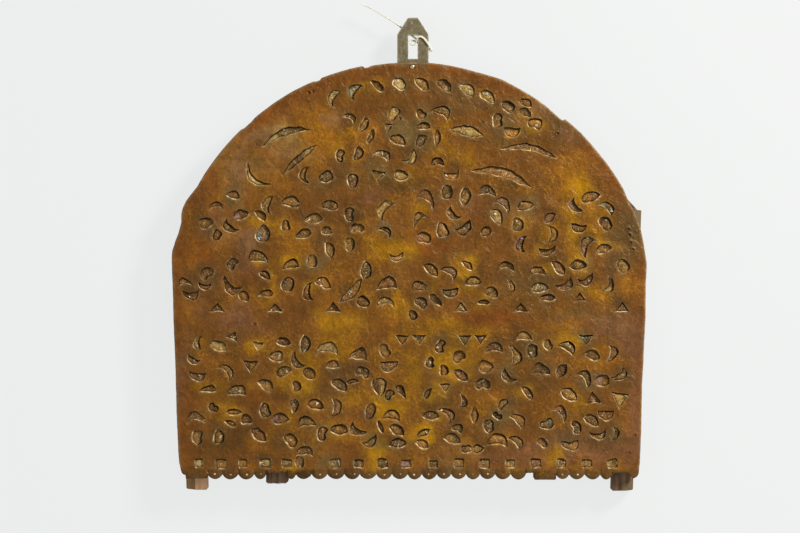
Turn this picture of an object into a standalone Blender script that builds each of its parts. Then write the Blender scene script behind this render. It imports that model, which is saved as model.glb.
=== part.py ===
"""Arched door hanging: a lacquered board carved with inlay pits, on four battens.

The board hangs from a slotted metal plate that is nailed behind its top edge, and a
nylon tie is looped through the slot. Metres, +Z up, the carved face towards -Y. The
origin is the middle of the slot's upper wall, where the plate bears on its screw.
"""

import math
import random
import re
from dataclasses import dataclass

import bmesh
import bpy
from mathutils import Vector
from mathutils.geometry import delaunay_2d_cdt, interpolate_bezier

MM = 0.001
CLEARANCE = 0.3 * MM

# Hanging plate
PLATE_THICKNESS = 2.5 * MM
PLATE_WIDTH = 38.6 * MM
PLATE_TIP_WIDTH = 10.8 * MM
PLATE_TIP_Z = 21.5 * MM
PLATE_SHOULDER_Z = 1.1 * MM
PLATE_FOOT_Z = -62.0 * MM
SLOT_WIDTH = 11.8 * MM
SLOT_HEIGHT = 28.5 * MM

# Board
BOARD_THICKNESS = 14.0 * MM
BOARD_AXIS_X = -4.8 * MM
BOARD_TOP_Z = -35.5 * MM
ARCH_RADIUS = 294.0 * MM
ARCH_STEP = 2.8
# How far the rim lies outside the plain arch at each angle from the top, in mm
ARCH_KNOTS = (
    (-60.0, -0.3), (-56.0, 0.2), (-50.0, 0.4), (-43.2, 0.8), (-42.6, -0.5), (-40.2, -0.4), (-39.2, 0.6),
    (-34.0, 1.3), (-28.0, 2.0), (-22.8, 1.9), (-22.4, 0.5), (-21.4, 0.5), (-20.8, 2.3), (-12.0, 2.5),
    (-10.9, 2.4), (-10.5, -0.2), (-9.5, -0.2), (-9.0, 1.1), (0.0, 1.6), (6.0, 2.0), (12.0, 1.5),
    (16.0, 1.1), (22.0, 2.6), (26.0, 1.2), (30.0, 0.4), (34.0, -0.8), (37.5, -2.6), (39.1, -2.8),
    (39.5, 0.5), (44.0, 0.8), (50.0, 0.2), (61.0, 0.5),
)
# Each side from the shoulder down: half width and drop, in mm
LEFT_SIDE = (
    (262.3, 157.4), (268.0, 164.9), (272.0, 173.4), (273.7, 182.0), (273.8, 190.8), (276.8, 202.6),
    (281.0, 213.5), (284.6, 225.0), (285.2, 234.0), (285.0, 246.0), (283.9, 274.8), (283.0, 310.8),
    (280.9, 358.8), (279.5, 418.8), (277.3, 466.8), (276.2, 478.8), (274.1, 488.4), (273.0, 491.4),
    (271.4, 493.2), (268.7, 494.0), (268.2, 498.2),
)
RIGHT_SIDE = (
    (263.5, 165.7), (267.5, 172.4), (270.5, 178.4), (273.2, 185.0), (275.5, 191.8), (277.9, 198.4),
    (281.3, 214.8), (283.3, 226.8), (285.1, 238.8), (284.9, 250.8), (284.0, 264.0), (283.8, 304.0),
    (282.1, 334.8), (279.7, 382.8), (278.5, 442.8), (276.9, 478.8), (275.7, 490.8), (275.2, 493.2),
    (273.7, 495.6), (272.1, 496.8), (269.8, 498.0),
)
LEFT_FOOT = ((-243.0, 498.2),)
RIGHT_FOOT = ((246.5, 491.4), (262.0, 491.4), (265.0, 495.0), (268.9, 498.2))
BOARD_BACK_Y = -PLATE_THICKNESS / 2 - CLEARANCE
BOARD_FRONT_Y = BOARD_BACK_Y - BOARD_THICKNESS

# Beaded lower edge, in mm: where each run of beads starts and how wide each of its beads is
BEAD_CUSP_DROP = 493.0 * MM
BEAD_DEPTH = 6.6 * MM
BEAD_SIDES = 5
BEAD_RUNS = (
    (-242.2, (17.8, 19.0, 19.2, 14.6)),
    (-147.6, (11.5, 18.9, 18.9, 20.4, 18.4, 20.0, 18.7, 18.9)),
    (-1.9, (17.1, 18.0, 17.2, 17.8, 16.8, 18.2, 18.7, 18.3)),
    (176.0, (16.2, 18.5, 18.9, 14.6)),
)
# The edge after each run: a lost bead, none, a gap and an uncut block, none
BEAD_GAPS = (
    ((-171.3, 490.5), (-147.9, 490.5)),
    (),
    ((140.5, 491.8), (149.3, 491.8), (149.8, 498.2), (175.5, 499.3)),
    (),
)

# Carving
PIT_DEPTH = 2.4 * MM
PIT_DRAFT = 0.55 * MM
PIT_LAND = 1.3 * MM
SETTLE_PASSES = 30

# Battens
BATTEN_WIDTH = 26.7 * MM
BATTEN_DEPTH = 22.0 * MM
BATTEN_FRONT_Y = BOARD_BACK_Y + CLEARANCE
BATTEN_CHAMFER = 9.0 * MM
BATTEN_LEAN = 10.2 / 339.2
BATTEN_ROUND = 1.8 * MM

# Nail through the board's rim and the plate
NAIL_X = -1.2 * MM
NAIL_Z = -39.6 * MM
NAIL_SHANK = 1.4 * MM
NAIL_HEAD = 3.2 * MM
NAIL_HEAD_RISE = 1.5 * MM
NAIL_CLENCH = 2.6 * MM
NAIL_CLENCH_RISE = 1.0 * MM
ROUND_SIDES = 12

# Nylon tie
TIE_WIDTH = 2.4 * MM
TIE_THICKNESS = 1.1 * MM
TIE_HEAD = (3.6 * MM, 5.0 * MM, 4.2 * MM)


@dataclass(frozen=True)
class Spray:
    """Petals about a centre: right of the axis and below the board's top, in mm.

    A petal reads like a clock face: the hour that it lies at, its kind, how far out it
    lies in mm, then "@" and the hour that its back or tip points to (outwards if left
    out), and "+" or "-" if it is a large or a small one.
    """

    right: float
    drop: float
    petals: str


# Kinds and their sizes in mm: crescent, half-moon, leaf, needle, oval, triangle
KINDS = {
    "C": (17.5, 9.0),
    "H": (18.0, 9.5),
    "L": (18.0, 10.0),
    "N": (17.0, 6.0),
    "O": (14.0, 11.5),
    "T": (16.0, 12.5),
}
LARGE, SMALL = 1.2, 0.8
PETAL = re.compile(r"([\d.]+)([CHLNOT])([\d.]+)(?:@([\d.]+))?([+-]?)")

SPRAYS = (
    Spray(-37, 90, "1.1O34 1.2T19@10.5- 3.3L23@4 5.5C21@1.5 9.5N10@1 10.4N25@1.2 10.2C42@1.2- 4C45@4.5"),
    Spray(-68, 128, "6O13 3.5T32@6 8.5O33 8.8C58@9 10.6O23@12 0.4L21@1- 3.2O59"),
    Spray(25, 76, "10.8O19- 1.2C22+ 8.7L8@3- 5N15@12 6.9L21@1.5 5.6H43@12- 5.2C63@6"),
    Spray(127, 66, "8.8O22@12 6.4H17@6 3.5O24 1.3L23@4.2"),
    Spray(-224, 184, "11C15@12- 0.9L27@3.7- 8.2O21 6.7O23@1- 4.8C15@7.5 3L23@2.3"),
    Spray(-172, 184, "9L8@4.5- 6.5O20+ 0.3C15@9.5 2.1L33@3.3 3.8O25@12-"),
    Spray(-112, 203, "8.7L15@2.3 11.6L16@2.8 0.9L35@3.3 2.8O13- 4.9L26@5.3 6.3O34"),
    Spray(-72, 199, "12O18 3O10 6O18 2C49@10.5+ 3.1C44@1.5- 4C66@6- 5.3L52@12"),
    Spray(-224, 258, "9.5O19@2.2 1.3O21@1 4.5C14@7+ 8.3C23@6- 8.1C43@6 8.8C45@12- 4.4O33-"),
    Spray(-161, 248, "10.3H26@12+ 2.3H20@12 8L14@4- 4.6O22@1 6.7N32@2.5"),
    Spray(-101, 266, "8.3C22@9 9L3@3.5 3.8O50"),
    Spray(-13, 270, "9.8H16@12+ 7.4C22@12 2.8H26@12 4.1O32 5.1O36- 3.6N47@4.5"),
    Spray(29, 181, "8.4C19@10.5 11.3C20@1+ 1O31@12 2L43@12.3 3C24@7.5 5.1O21@12 6.7O32@4 3.8H42@5"),
    Spray(109, 191, "11.3H41@12 0.4C22@1.5 2L36@2.7 10.7L8@5.3 7.9O20- 3.2O19@6 4.5C36@9"),
    Spray(178, 216, "11.5L30@2- 11C14@3 7.8C15@6 1.8H31@6 4.6L37@3 6L30@4.7"),
    Spray(220, 193, "10.5C30@8 11.9L31@2.2+ 1.4C27@1.5 3O14@5 6.5C27@10+ 5.2L35@2.2"),
    Spray(229, 257, "8.7C16@5 8.6C43@5 4.3C14@4 2.1O31@5"),
    Spray(152, 264, "0.2C14@12 5.1L11@3 4.6N21@3 8.8C30@3- 10C41@12"),
    Spray(79, 264, "11.1L23@4.3- 9L2@2.7 4.1O23 9.8C34@1.5 9.5L56@4.3 8.3H32@6 5.2N26@3-"),
    Spray(-245, 362, "11.4C28@9- 9.8C16@7- 7.1H17@6 1.2L26@3.5 3.5C27@1.5 5.8N31@3"),
    Spray(-202, 349, "11.3T24@1- 2.2T22@6- 4.8T19@6 6.2H43@12 4.8L48@4.2"),
    Spray(-143, 356, "9.3O17 11.3L22@3- 6.8L17@2.2 3.3C8@7.5 1.2L25@12 4.2O28 5.6O32- 5.9L55@12-"),
    Spray(-227, 422, "10.5O12- 2.6N17@3 8.8C28@12 6.2O26 7.5O38@12 4.4N16@4- 3.4O33-"),
    Spray(-169, 428, "11.3O13@12 3L15@3 7.1L22@4 4.5O36"),
    Spray(-109, 428, "11.6L16@3.3 8.8H14@12 1.8C26@3 5.5O17@12 3.9L28@3 6.8H40@12 3.5C48@7.5"),
    Spray(-77, 364, "10.5C30@12+ 1.5H22@12 9L15@3- 6.6L24@4 3.7O22 5.1N21@3-"),
    Spray(-29, 350, "11.3O6 5.3H14@6"),
    Spray(-32, 410, "11.7O21+ 1.1O18- 1.8N22@4.7 8.2L17@12.5 4.6H16@12 6.2N26@5.3- 5.1L36@4.3"),
    Spray(-32, 410, "6.6C45@5 5.3L51@2.7"),
    Spray(32, 434, "7.2L30@3.5- 7.8N18@1.8 11L12@3 1.5C19 4.5L27@3.5 3.4O26- 1.6C44@3- 2.5N47@12"),
    Spray(44, 368, "11.5O30@12.5 9.9O21@12- 9O4@12- 1.5O22 3.7L19@4.2 6.1T22@6- 7.2N35@1-"),
    Spray(106, 356, "11.5H17@12 2.5C21@3+ 7.9O16@3 7O35@3 4.9C24@7.5 1.6H43@12 2.5O42@12"),
    Spray(178, 354, "10.8O20- 1.4H19@1 7.9H23@12 5.3L17@0.8 2.9L41@3.3"),
    Spray(229, 366, "1.3C23@3 3.6C25@4.5 7.9C21@1.5 5.7O16@3"),
    Spray(217, 410, "9.8L28@4 0.7T10@12 2.7T36@6+ 4.1H22@6 5.9L20@4 7.1O32@5.3 8.5C36@1.5 8.2O57"),
    Spray(217, 410, "5.5C37@6 4.6C46@3-"),
    Spray(121, 434, "11.4L25@1.3- 10.2O19- 1.9H13@1.5 8.9O26@12 7.2H22@12+ 5.5C21@1.5 4O44-"),
    Spray(121, 434, "0.9N43@4.7"),
    Spray(76, 463, "9O6- 3O6-"),
    Spray(193, 458, "6H1@6"),
    Spray(142, 54, "12L1@4"),
    Spray(205, 281, "12T1@12-"),
    Spray(-132, 479, "12O1-"),
)

# Long arched leaves: two tips, how far the middle is bowed off their chord, and the width
LONG_LEAVES = (
    ((-174, 98), (-120, 79), 7.5, 7),
    ((-192, 118), (-166, 147), -13.0, 6),
    ((-151, 132), (-112, 99), 1.5, 8),
    ((-85, 287), (-57, 258), -3.5, 12),
    ((49, 79), (90, 87), 2.0, 13),
    ((109, 103), (179, 115), 8.5, 9),
    ((74, 129), (148, 150), 9.0, 12),
)

# Rows that follow a rule: the arch row, the square row and the two rows of triangles
ARCH_ROW_INSET = 24.5 * MM
ARCH_ROW_FIRST, ARCH_ROW_STEP = -19.8, 5.72
ARCH_ROW_PETALS = "CCNOLLLLO"
SQUARE_DROP = 480.0 * MM
SQUARE_SIDE = 10.5 * MM
SQUARE_RUNS = ((-252.0, 26.3, 5), (-89.0, 28.5, 4), (29.0, 30.7, 8))
UP_TRIANGLES = (-230, -161, -91, 62, 134, 256)
UP_TRIANGLE_DROP = 292.0 * MM
DOWN_TRIANGLES = (-8.5, 12, 67, 86, 212)
DOWN_TRIANGLE_DROP = 332.0 * MM
TRIANGLE_WIDTH, TRIANGLE_HEIGHT = 17.0 * MM, 11.0 * MM

# Chips out of the arch's rim: angle from the top, half-width in degrees, depth in mm


def clear_scene():
    """Remove every object that the scene starts with."""
    for item in list(bpy.data.objects):
        bpy.data.objects.remove(item, do_unlink=True)


def make_material(name, color, roughness, metallic=0.0):
    """Return a plain Principled material."""
    material = bpy.data.materials.new(name)
    material.use_nodes = True
    shader = material.node_tree.nodes["Principled BSDF"]
    shader.inputs["Base Color"].default_value = (*color, 1.0)
    shader.inputs["Roughness"].default_value = roughness
    shader.inputs["Metallic"].default_value = metallic
    material.diffuse_color = (*color, 1.0)
    return material


def finish_object(name, bm, material, smooth_angle=None):
    """Turn a bmesh into a named object with outward faces."""
    bmesh.ops.recalc_face_normals(bm, faces=bm.faces)
    mesh = bpy.data.meshes.new(name)
    bm.to_mesh(mesh)
    bm.free()
    if smooth_angle is not None:
        mesh.shade_smooth()
        mesh.set_sharp_from_angle(angle=math.radians(smooth_angle))
    mesh.materials.append(material)
    item = bpy.data.objects.new(name, mesh)
    bpy.context.collection.objects.link(item)
    return item


def on_board(right, drop):
    """Return the (x, z) of a place right of the board's axis and below its top."""
    return Vector((BOARD_AXIS_X + right, BOARD_TOP_Z - drop))


def circle(centre, radius, sides=ROUND_SIDES):
    """Return a regular polygon as (x, z) points."""
    angles = [math.tau * i / sides for i in range(sides)]
    return [centre + radius * Vector((math.cos(a), math.sin(a))) for a in angles]


# ---------------------------------------------------------------- outline


def rim_offset(angle):
    """Return how far the rim lies outside the plain arch at an angle from the top."""
    for (low, start), (high, end) in zip(ARCH_KNOTS, ARCH_KNOTS[1:]):
        if low <= angle <= high:
            return (start + (end - start) * (angle - low) / (high - low)) * MM
    return 0.0


def arch_outline():
    """Return the arch from its left end over the top to its right end."""
    knots = [angle for angle, _ in ARCH_KNOTS]
    angles = list(knots)
    for low, high in zip(knots, knots[1:]):
        count = max(1, math.ceil((high - low) / ARCH_STEP))
        angles += [low + (high - low) * k / count for k in range(1, count)]
    points = []
    for angle in sorted(angles):
        radius = ARCH_RADIUS + rim_offset(angle)
        turn = math.radians(angle)
        drop = ARCH_RADIUS - radius * math.cos(turn)
        points.append(on_board(radius * math.sin(turn), drop))
    return points


def side_outline(side):
    """Return one side from the shoulder down to the corner; side is -1 or 1."""
    knots = LEFT_SIDE if side < 0 else RIGHT_SIDE
    return [on_board(side * half * MM, drop * MM) for half, drop in knots]


def bead_edge():
    """Return the beaded lower edge from left to right, with its gaps and its uncut block."""
    points = []
    for (left, widths), gap in zip(BEAD_RUNS, BEAD_GAPS):
        for width in widths:
            for k in range(BEAD_SIDES):
                share = k / BEAD_SIDES
                sag = BEAD_DEPTH * math.sin(math.pi * share) ** 0.7
                points.append(on_board((left + share * width) * MM, BEAD_CUSP_DROP + sag))
            left += width
        points += [on_board(right * MM, drop * MM) for right, drop in gap]
    return points


def board_outline():
    """Return the board's whole outline, starting at the arch's left end."""
    lower = [on_board(right * MM, drop * MM) for right, drop in LEFT_FOOT]
    lower += bead_edge()
    lower += [on_board(right * MM, drop * MM) for right, drop in RIGHT_FOOT]
    right = arch_outline() + side_outline(1)
    left = side_outline(-1)
    return right + list(reversed(lower)) + list(reversed(left))


# ---------------------------------------------------------------- pits


def pit_shape(kind, length, width):
    """Return a pit's rim about its middle, with its back, if it has one, towards +v."""
    half, rise = length / 2, width / 2
    if kind == "C":
        outer = [(half * math.cos(t), 2 * rise * math.sin(t) - rise) for t in fan(5)]
        inner = [(half * math.cos(t), 0.5 * rise * math.sin(t) - rise) for t in fan(5)]
        return outer + inner[3:0:-1]
    if kind == "H":
        return [(half * math.cos(t), 2 * rise * math.sin(t) - rise) for t in fan(6)]
    if kind == "T":
        return [(half, -rise), (0.0, rise), (-half, -rise)]
    if kind == "S":
        return [(half, -half), (half, half), (-half, half), (-half, -half)]
    turns = [math.tau * i / 8 for i in range(8)]
    pinch = 1.5 if kind in "LN" else 1.0
    points = []
    for t in turns:
        bulge = math.copysign(abs(math.sin(t)) ** pinch, math.sin(t))
        points.append((half * math.cos(t), rise * bulge))
    return points


def fan(count):
    """Return angles from 0 to half a turn."""
    return [math.pi * i / (count - 1) for i in range(count)]


class Carving:
    """A pit on the board: the middle, the turn and the size that its rim is made from."""

    def __init__(self, kind, middle, turn, length, width):
        self.kind = kind
        self.middle = middle
        self.turn = turn
        self.length = length
        self.width = width

    def ends(self):
        """Return the two ends of the spine that a rounded pit is swept along."""
        reach = max(self.length - self.width, 0.0) / 2
        spine = reach * Vector((math.cos(self.turn), math.sin(self.turn)))
        return self.middle - spine, self.middle + spine

    def rim(self):
        """Return the rim as (x, z) points."""
        cos, sin = math.cos(self.turn), math.sin(self.turn)
        points = []
        for u, v in pit_shape(self.kind, self.length, self.width):
            points.append(self.middle + Vector((u * cos - v * sin, u * sin + v * cos)))
        return points


class BowedLeaf:
    """A long leaf whose spine is bowed off the chord between its tips."""

    STATIONS = 7

    def __init__(self, start, end, bow, width):
        self.start = on_board(start[0] * MM, start[1] * MM)
        self.end = on_board(end[0] * MM, end[1] * MM)
        self.bow = bow * MM
        self.width = width * MM

    def rim(self):
        """Return the rim as (x, z) points, up one side and back down the other."""
        chord = self.end - self.start
        normal = Vector((-chord.y, chord.x)).normalized()
        upper, lower = [], []
        for i in range(1, self.STATIONS):
            share = i / self.STATIONS
            swell = math.sin(math.pi * share)
            spine = self.start + share * chord + normal * self.bow * swell
            reach = normal * self.width / 2 * swell**0.8
            upper.append(spine + reach)
            lower.append(spine - reach)
        return [self.start] + upper + [self.end] + lower[::-1]


def spray_pits(spray, chance):
    """Return the pits of one spray, each cut a little off its size by hand."""
    pits = []
    for hour, kind, reach, way, size in PETAL.findall(spray.petals):
        spoke = clock_angle(hour)
        place = Vector((math.cos(spoke), math.sin(spoke))) * float(reach) * MM
        middle = on_board(spray.right * MM, spray.drop * MM) + place
        turn = clock_angle(way or hour)
        if kind in "CHT":
            turn -= math.pi / 2
        turn += math.radians(chance.uniform(-8, 8))
        scale = {"+": LARGE, "-": SMALL, "": 1.0}[size] * chance.uniform(0.95, 1.06) * MM
        length, width = KINDS[kind]
        pits.append(Carving(kind, middle, turn, length * scale, width * scale))
    return pits


def clock_angle(hour):
    """Return the angle of a clock hour, anticlockwise from the right."""
    return math.radians(90.0 - 30.0 * float(hour))


def row_pits():
    """Return the rows of pits: along the arch, the triangles and the squares."""
    pits = []
    row_radius = ARCH_RADIUS - ARCH_ROW_INSET
    for i, kind in enumerate(ARCH_ROW_PETALS):
        turn = math.radians(ARCH_ROW_FIRST + i * ARCH_ROW_STEP)
        drop = ARCH_RADIUS - row_radius * math.cos(turn)
        middle = on_board(row_radius * math.sin(turn), drop)
        lean = math.radians(60 if i < 2 else -40)
        length, width = KINDS[kind]
        pits.append(Carving(kind, middle, lean, length * MM, width * MM))
    for places, drop, turn in (
        (UP_TRIANGLES, UP_TRIANGLE_DROP, 0.0),
        (DOWN_TRIANGLES, DOWN_TRIANGLE_DROP, math.pi),
    ):
        for right in places:
            middle = on_board(right * MM, drop)
            pits.append(Carving("T", middle, turn, TRIANGLE_WIDTH, TRIANGLE_HEIGHT))
    return pits


def square_pits():
    """Return the row of square pits above the beads."""
    pits = []
    for first, pitch, count in SQUARE_RUNS:
        for i in range(count):
            middle = on_board((first + i * pitch) * MM, SQUARE_DROP)
            pits.append(Carving("S", middle, 0.0, SQUARE_SIDE, SQUARE_SIDE))
    return pits


def spine_gap(one, other):
    """Return the gap between two rounded pits and the way from one to the other."""
    best = None
    for a, b, flip in ((one, other, 1), (other, one, -1)):
        start, end = a.ends()
        along = end - start
        size = max(along.length_squared, 1e-12)
        for point in b.ends():
            share = min(max((point - start).dot(along) / size, 0.0), 1.0)
            away = (point - (start + share * along)) * flip
            if best is None or away.length < best.length:
                best = away
    reach = (one.width + other.width) / 2
    return best.length - reach, best.normalized()


def settle(pits):
    """Ease crowded pits apart until each has its land around it."""
    for _ in range(SETTLE_PASSES):
        for i, one in enumerate(pits):
            for other in pits[i + 1 :]:
                if (one.middle - other.middle).length > 32 * MM:
                    continue
                gap, way = spine_gap(one, other)
                if gap < PIT_LAND:
                    push = way * (PIT_LAND - gap) / 2
                    one.middle = one.middle - push
                    other.middle = other.middle + push
    return pits


def carve_rims():
    """Return the rim of every pit on the board."""
    chance = random.Random(1907)
    pits = row_pits()
    for spray in SPRAYS:
        pits += spray_pits(spray, chance)
    pits = settle(pits) + square_pits()
    leaves = [BowedLeaf(*leaf) for leaf in LONG_LEAVES]
    return [pit.rim() for pit in pits + leaves]


# ---------------------------------------------------------------- solids


def signed_area(points):
    """Return a polygon's area, positive when it runs anticlockwise."""
    total = 0.0
    for a, b in zip(points, points[1:] + points[:1]):
        total += a.x * b.y - b.x * a.y
    return total / 2


def inset(points, distance):
    """Return an anticlockwise polygon moved inwards, with its tips kept short."""
    moved = []
    for i, point in enumerate(points):
        before = (point - points[i - 1]).normalized()
        after = (points[(i + 1) % len(points)] - point).normalized()
        normal = Vector((-before.y - after.y, before.x + after.x))
        if normal.length < 0.35:
            moved.append(point + (after - before).normalized() * distance)
        else:
            stretch = min(2.0 / normal.length_squared, 1.8) * normal.length
            moved.append(point + normal.normalized() * distance * stretch)
    return moved


def triangulate(outline, holes):
    """Return the points, the triangles of the sheet and the triangles of each hole."""
    rings = [outline] + holes
    points, edges, faces = [], [], []
    for ring in rings:
        first = len(points)
        points += ring
        indices = list(range(first, len(points)))
        edges += list(zip(indices, indices[1:] + indices[:1]))
        faces.append(indices)
    result = delaunay_2d_cdt(points, edges, faces, 1, 1e-7, True)
    if len(result[0]) != len(points):
        raise ValueError("rims meet: the sheet gained or lost points")
    order = [source[0] for source in result[3]]
    sheet, floors = [], [[] for _ in holes]
    for face, sources in zip(result[2], result[5]):
        triangle = [order[i] for i in face]
        inside = [source for source in sources if source > 0]
        if inside:
            floors[inside[0] - 1].append(triangle)
        elif sources:
            sheet.append(triangle)
    return points, sheet, floors


def slab(outline, holes, pits, front_y, back_y):
    """Return a bmesh plate with through holes and blind pits in its front face."""
    outline = outline if signed_area(outline) > 0 else outline[::-1]
    cuts = [cut if signed_area(cut) > 0 else cut[::-1] for cut in holes + pits]
    points, sheet, floors = triangulate(outline, cuts)
    bm = bmesh.new()
    front = [bm.verts.new((p.x, front_y, p.y)) for p in points]
    for triangle in sheet:
        bm.faces.new([front[i] for i in triangle])
    first = len(outline)
    for number, cut in enumerate(cuts[len(holes) :]):
        start = first + sum(len(c) for c in cuts[: len(holes) + number])
        rim = front[start : start + len(cut)]
        sunk = inset(cut, PIT_DRAFT)
        floor = [bm.verts.new((p.x, front_y + PIT_DEPTH, p.y)) for p in sunk]
        wall(bm, rim, floor)
        for triangle in floors[len(holes) + number]:
            bm.faces.new([floor[i - start] for i in triangle])
    back_points, back_sheet, _ = triangulate(outline, cuts[: len(holes)])
    back = [bm.verts.new((p.x, back_y, p.y)) for p in back_points]
    for triangle in back_sheet:
        bm.faces.new([back[i] for i in reversed(triangle)])
    start = 0
    for ring in [outline] + cuts[: len(holes)]:
        end = start + len(ring)
        wall(bm, front[start:end], back[start:end])
        start = end
    return bm


def wall(bm, upper, lower):
    """Join two rings of vertices with quads."""
    for i in range(len(upper)):
        j = (i + 1) % len(upper)
        bm.faces.new((upper[i], upper[j], lower[j], lower[i]))


def extrude_profile(profile, front_y, back_y):
    """Return a bmesh prism from an (x, z) profile."""
    bm = bmesh.new()
    front = [bm.verts.new((p.x, front_y, p.y)) for p in profile]
    back = [bm.verts.new((p.x, back_y, p.y)) for p in profile]
    bm.faces.new(front)
    bm.faces.new(back[::-1])
    wall(bm, front, back)
    return bm


def turned(profile, x, z, sides=ROUND_SIDES):
    """Return a bmesh turned about a line along Y from (radius, y) points."""
    bm = bmesh.new()
    rings = []
    for radius, y in profile[1:-1]:
        ring = []
        for i in range(sides):
            angle = math.tau * i / sides
            spot = (x + radius * math.cos(angle), y, z + radius * math.sin(angle))
            ring.append(bm.verts.new(spot))
        rings.append(ring)
    for upper, lower in zip(rings, rings[1:]):
        wall(bm, upper, lower)
    for ring, (_, y) in ((rings[0], profile[0]), (rings[-1], profile[-1])):
        pole = bm.verts.new((x, y, z))
        for i in range(sides):
            bm.faces.new((ring[i], ring[(i + 1) % sides], pole))
    return bm


# ---------------------------------------------------------------- pieces


def make_board(material):
    """Make the carved board with the bore for the rim nail."""
    bore = circle(Vector((NAIL_X, NAIL_Z)), NAIL_SHANK + CLEARANCE)
    bm = slab(board_outline(), [bore], carve_rims(), BOARD_FRONT_Y, BOARD_BACK_Y)
    return finish_object("board", bm, material)


def make_plate(material):
    """Make the hanging plate with its slot and the nail's hole."""
    half, tip = PLATE_WIDTH / 2, PLATE_TIP_WIDTH / 2
    outline = [
        Vector((-half, PLATE_FOOT_Z)),
        Vector((half, PLATE_FOOT_Z)),
        Vector((half, PLATE_SHOULDER_Z)),
        Vector((tip, PLATE_TIP_Z)),
        Vector((-tip, PLATE_TIP_Z)),
        Vector((-half, PLATE_SHOULDER_Z)),
    ]
    side = SLOT_WIDTH / 2
    slot = [
        Vector((-side, -SLOT_HEIGHT)),
        Vector((side, -SLOT_HEIGHT)),
        Vector((side, 0.0)),
        Vector((-side, 0.0)),
    ]
    bore = circle(Vector((NAIL_X, NAIL_Z)), NAIL_SHANK + CLEARANCE)
    reach = PLATE_THICKNESS / 2
    bm = slab(outline, [slot, bore], [], -reach, reach)
    return finish_object("hanging_plate", bm, material)


def make_nail(material):
    """Make the nail: a domed head, its shank and the clenched end behind the plate."""
    face = BOARD_FRONT_Y - CLEARANCE
    back = PLATE_THICKNESS / 2 + CLEARANCE
    dome = []
    for i in range(1, 4):
        turn = math.pi / 2 * i / 3
        dome.append((NAIL_HEAD * math.sin(turn), face - NAIL_HEAD_RISE * math.cos(turn)))
    profile = [(0.0, face - NAIL_HEAD_RISE)] + dome
    profile += [
        (NAIL_SHANK, face),
        (NAIL_SHANK, back),
        (NAIL_CLENCH, back),
        (NAIL_CLENCH * 0.7, back + NAIL_CLENCH_RISE),
        (0.0, back + NAIL_CLENCH_RISE),
    ]
    bm = turned(profile, NAIL_X, NAIL_Z)
    return finish_object("rim_nail", bm, material, 40)


def make_outer_batten(name, side, axis_foot, top_drop, foot_drop, material, peak=None):
    """Make an outer batten, which leans with the board's side and has a chamfered edge.

    The peak, if there is one, is where the top's slanted cut ends: its inner end's drop and
    how far from the batten's outer side the cut starts.
    """
    half = BATTEN_WIDTH / 2
    bm = bmesh.new()
    rings = []
    ends = ((top_drop, 0.0), (foot_drop - BATTEN_ROUND, 0.0), (foot_drop, BATTEN_ROUND))
    for drop, take in ends:
        axis = axis_foot + BATTEN_LEAN * (foot_drop - drop)
        short = peak[1] if peak else BATTEN_CHAMFER / 2
        section = (
            (axis - half + take, 0.0),
            (axis + half - BATTEN_CHAMFER, 0.0),
            (axis + half - max(short, take), BATTEN_CHAMFER - max(short, take)),
            (axis + half - take, BATTEN_CHAMFER),
            (axis + half - take, BATTEN_DEPTH),
            (axis + half - max(short, take), BATTEN_DEPTH),
            (axis - half + take, BATTEN_DEPTH),
        )
        ring = []
        for right, depth in section:
            spot = on_board(side * right, drop)
            ring.append(bm.verts.new((spot.x, BATTEN_FRONT_Y + depth, spot.y)))
        rings.append(ring)
    for upper, lower in zip(rings, rings[1:]):
        wall(bm, upper, lower)
    bm.faces.new(rings[-1][::-1])
    top = rings[0]
    if peak:
        rise = Vector((0.0, 0.0, top_drop - peak[0]))
        front, back = bm.verts.new(top[0].co + rise), bm.verts.new(top[6].co + rise)
        bm.faces.new((top[2], top[3], top[4], top[5]))
        bm.faces.new((top[0], top[1], front))
        bm.faces.new((top[1], top[2], front))
        bm.faces.new((top[2], top[5], back, front))
        bm.faces.new((top[5], top[6], back))
        bm.faces.new((top[6], top[0], front, back))
    else:
        bm.faces.new(top)
    return finish_object(name, bm, material)


def make_inner_batten(name, axis, top_drop, foot_drops, material):
    """Make an inner batten; its foot is cut or broken to the drops from left to right."""
    half = BATTEN_WIDTH / 2
    profile = [
        on_board(axis + half, top_drop),
        on_board(axis - half, top_drop),
    ]
    last = len(foot_drops) - 1
    for i, drop in enumerate(foot_drops):
        profile.append(on_board(axis - half + BATTEN_WIDTH * i / last, drop * MM))
    bm = extrude_profile(profile, BATTEN_FRONT_Y, BATTEN_FRONT_Y + BATTEN_DEPTH)
    return finish_object(name, bm, material)


def tie_route():
    """Return the tie's route as (x, y, z, way its flat side faces), in millimetres."""
    front, back = (0, -1, 0), (0, 1, 0)
    return (
        (21.3, 1.0, -16.3, (0.8, -0.6, 0)),
        (20.8, -1.4, -13.9, (0.5, -1, 0)),
        (18.0, -2.5, -9.9, front),
        (14.2, -2.4, -4.9, front),
        (10.6, -2.4, -2.0, front),
        (7.4, -2.6, -1.6, front),
        (5.0, -2.3, -3.2, (0.7, -0.7, 0.2)),
        (4.2, -1.0, -7.0, (1, -0.1, 0)),
        (1.6, -0.2, -11.4, (0.3, 0, -1)),
        (-2.0, 0.6, -11.4, (-0.4, 0.1, -1)),
        (-4.0, 1.6, -8.4, (-1, 0.2, 0)),
        (-2.6, 2.9, -5.8, (-0.5, 1, 0)),
        (1.5, 2.8, -6.4, back),
        (9.0, 2.5, -10.6, back),
        (16.0, 2.5, -14.4, back),
        (20.4, 2.5, -16.9, back),
    )


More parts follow.
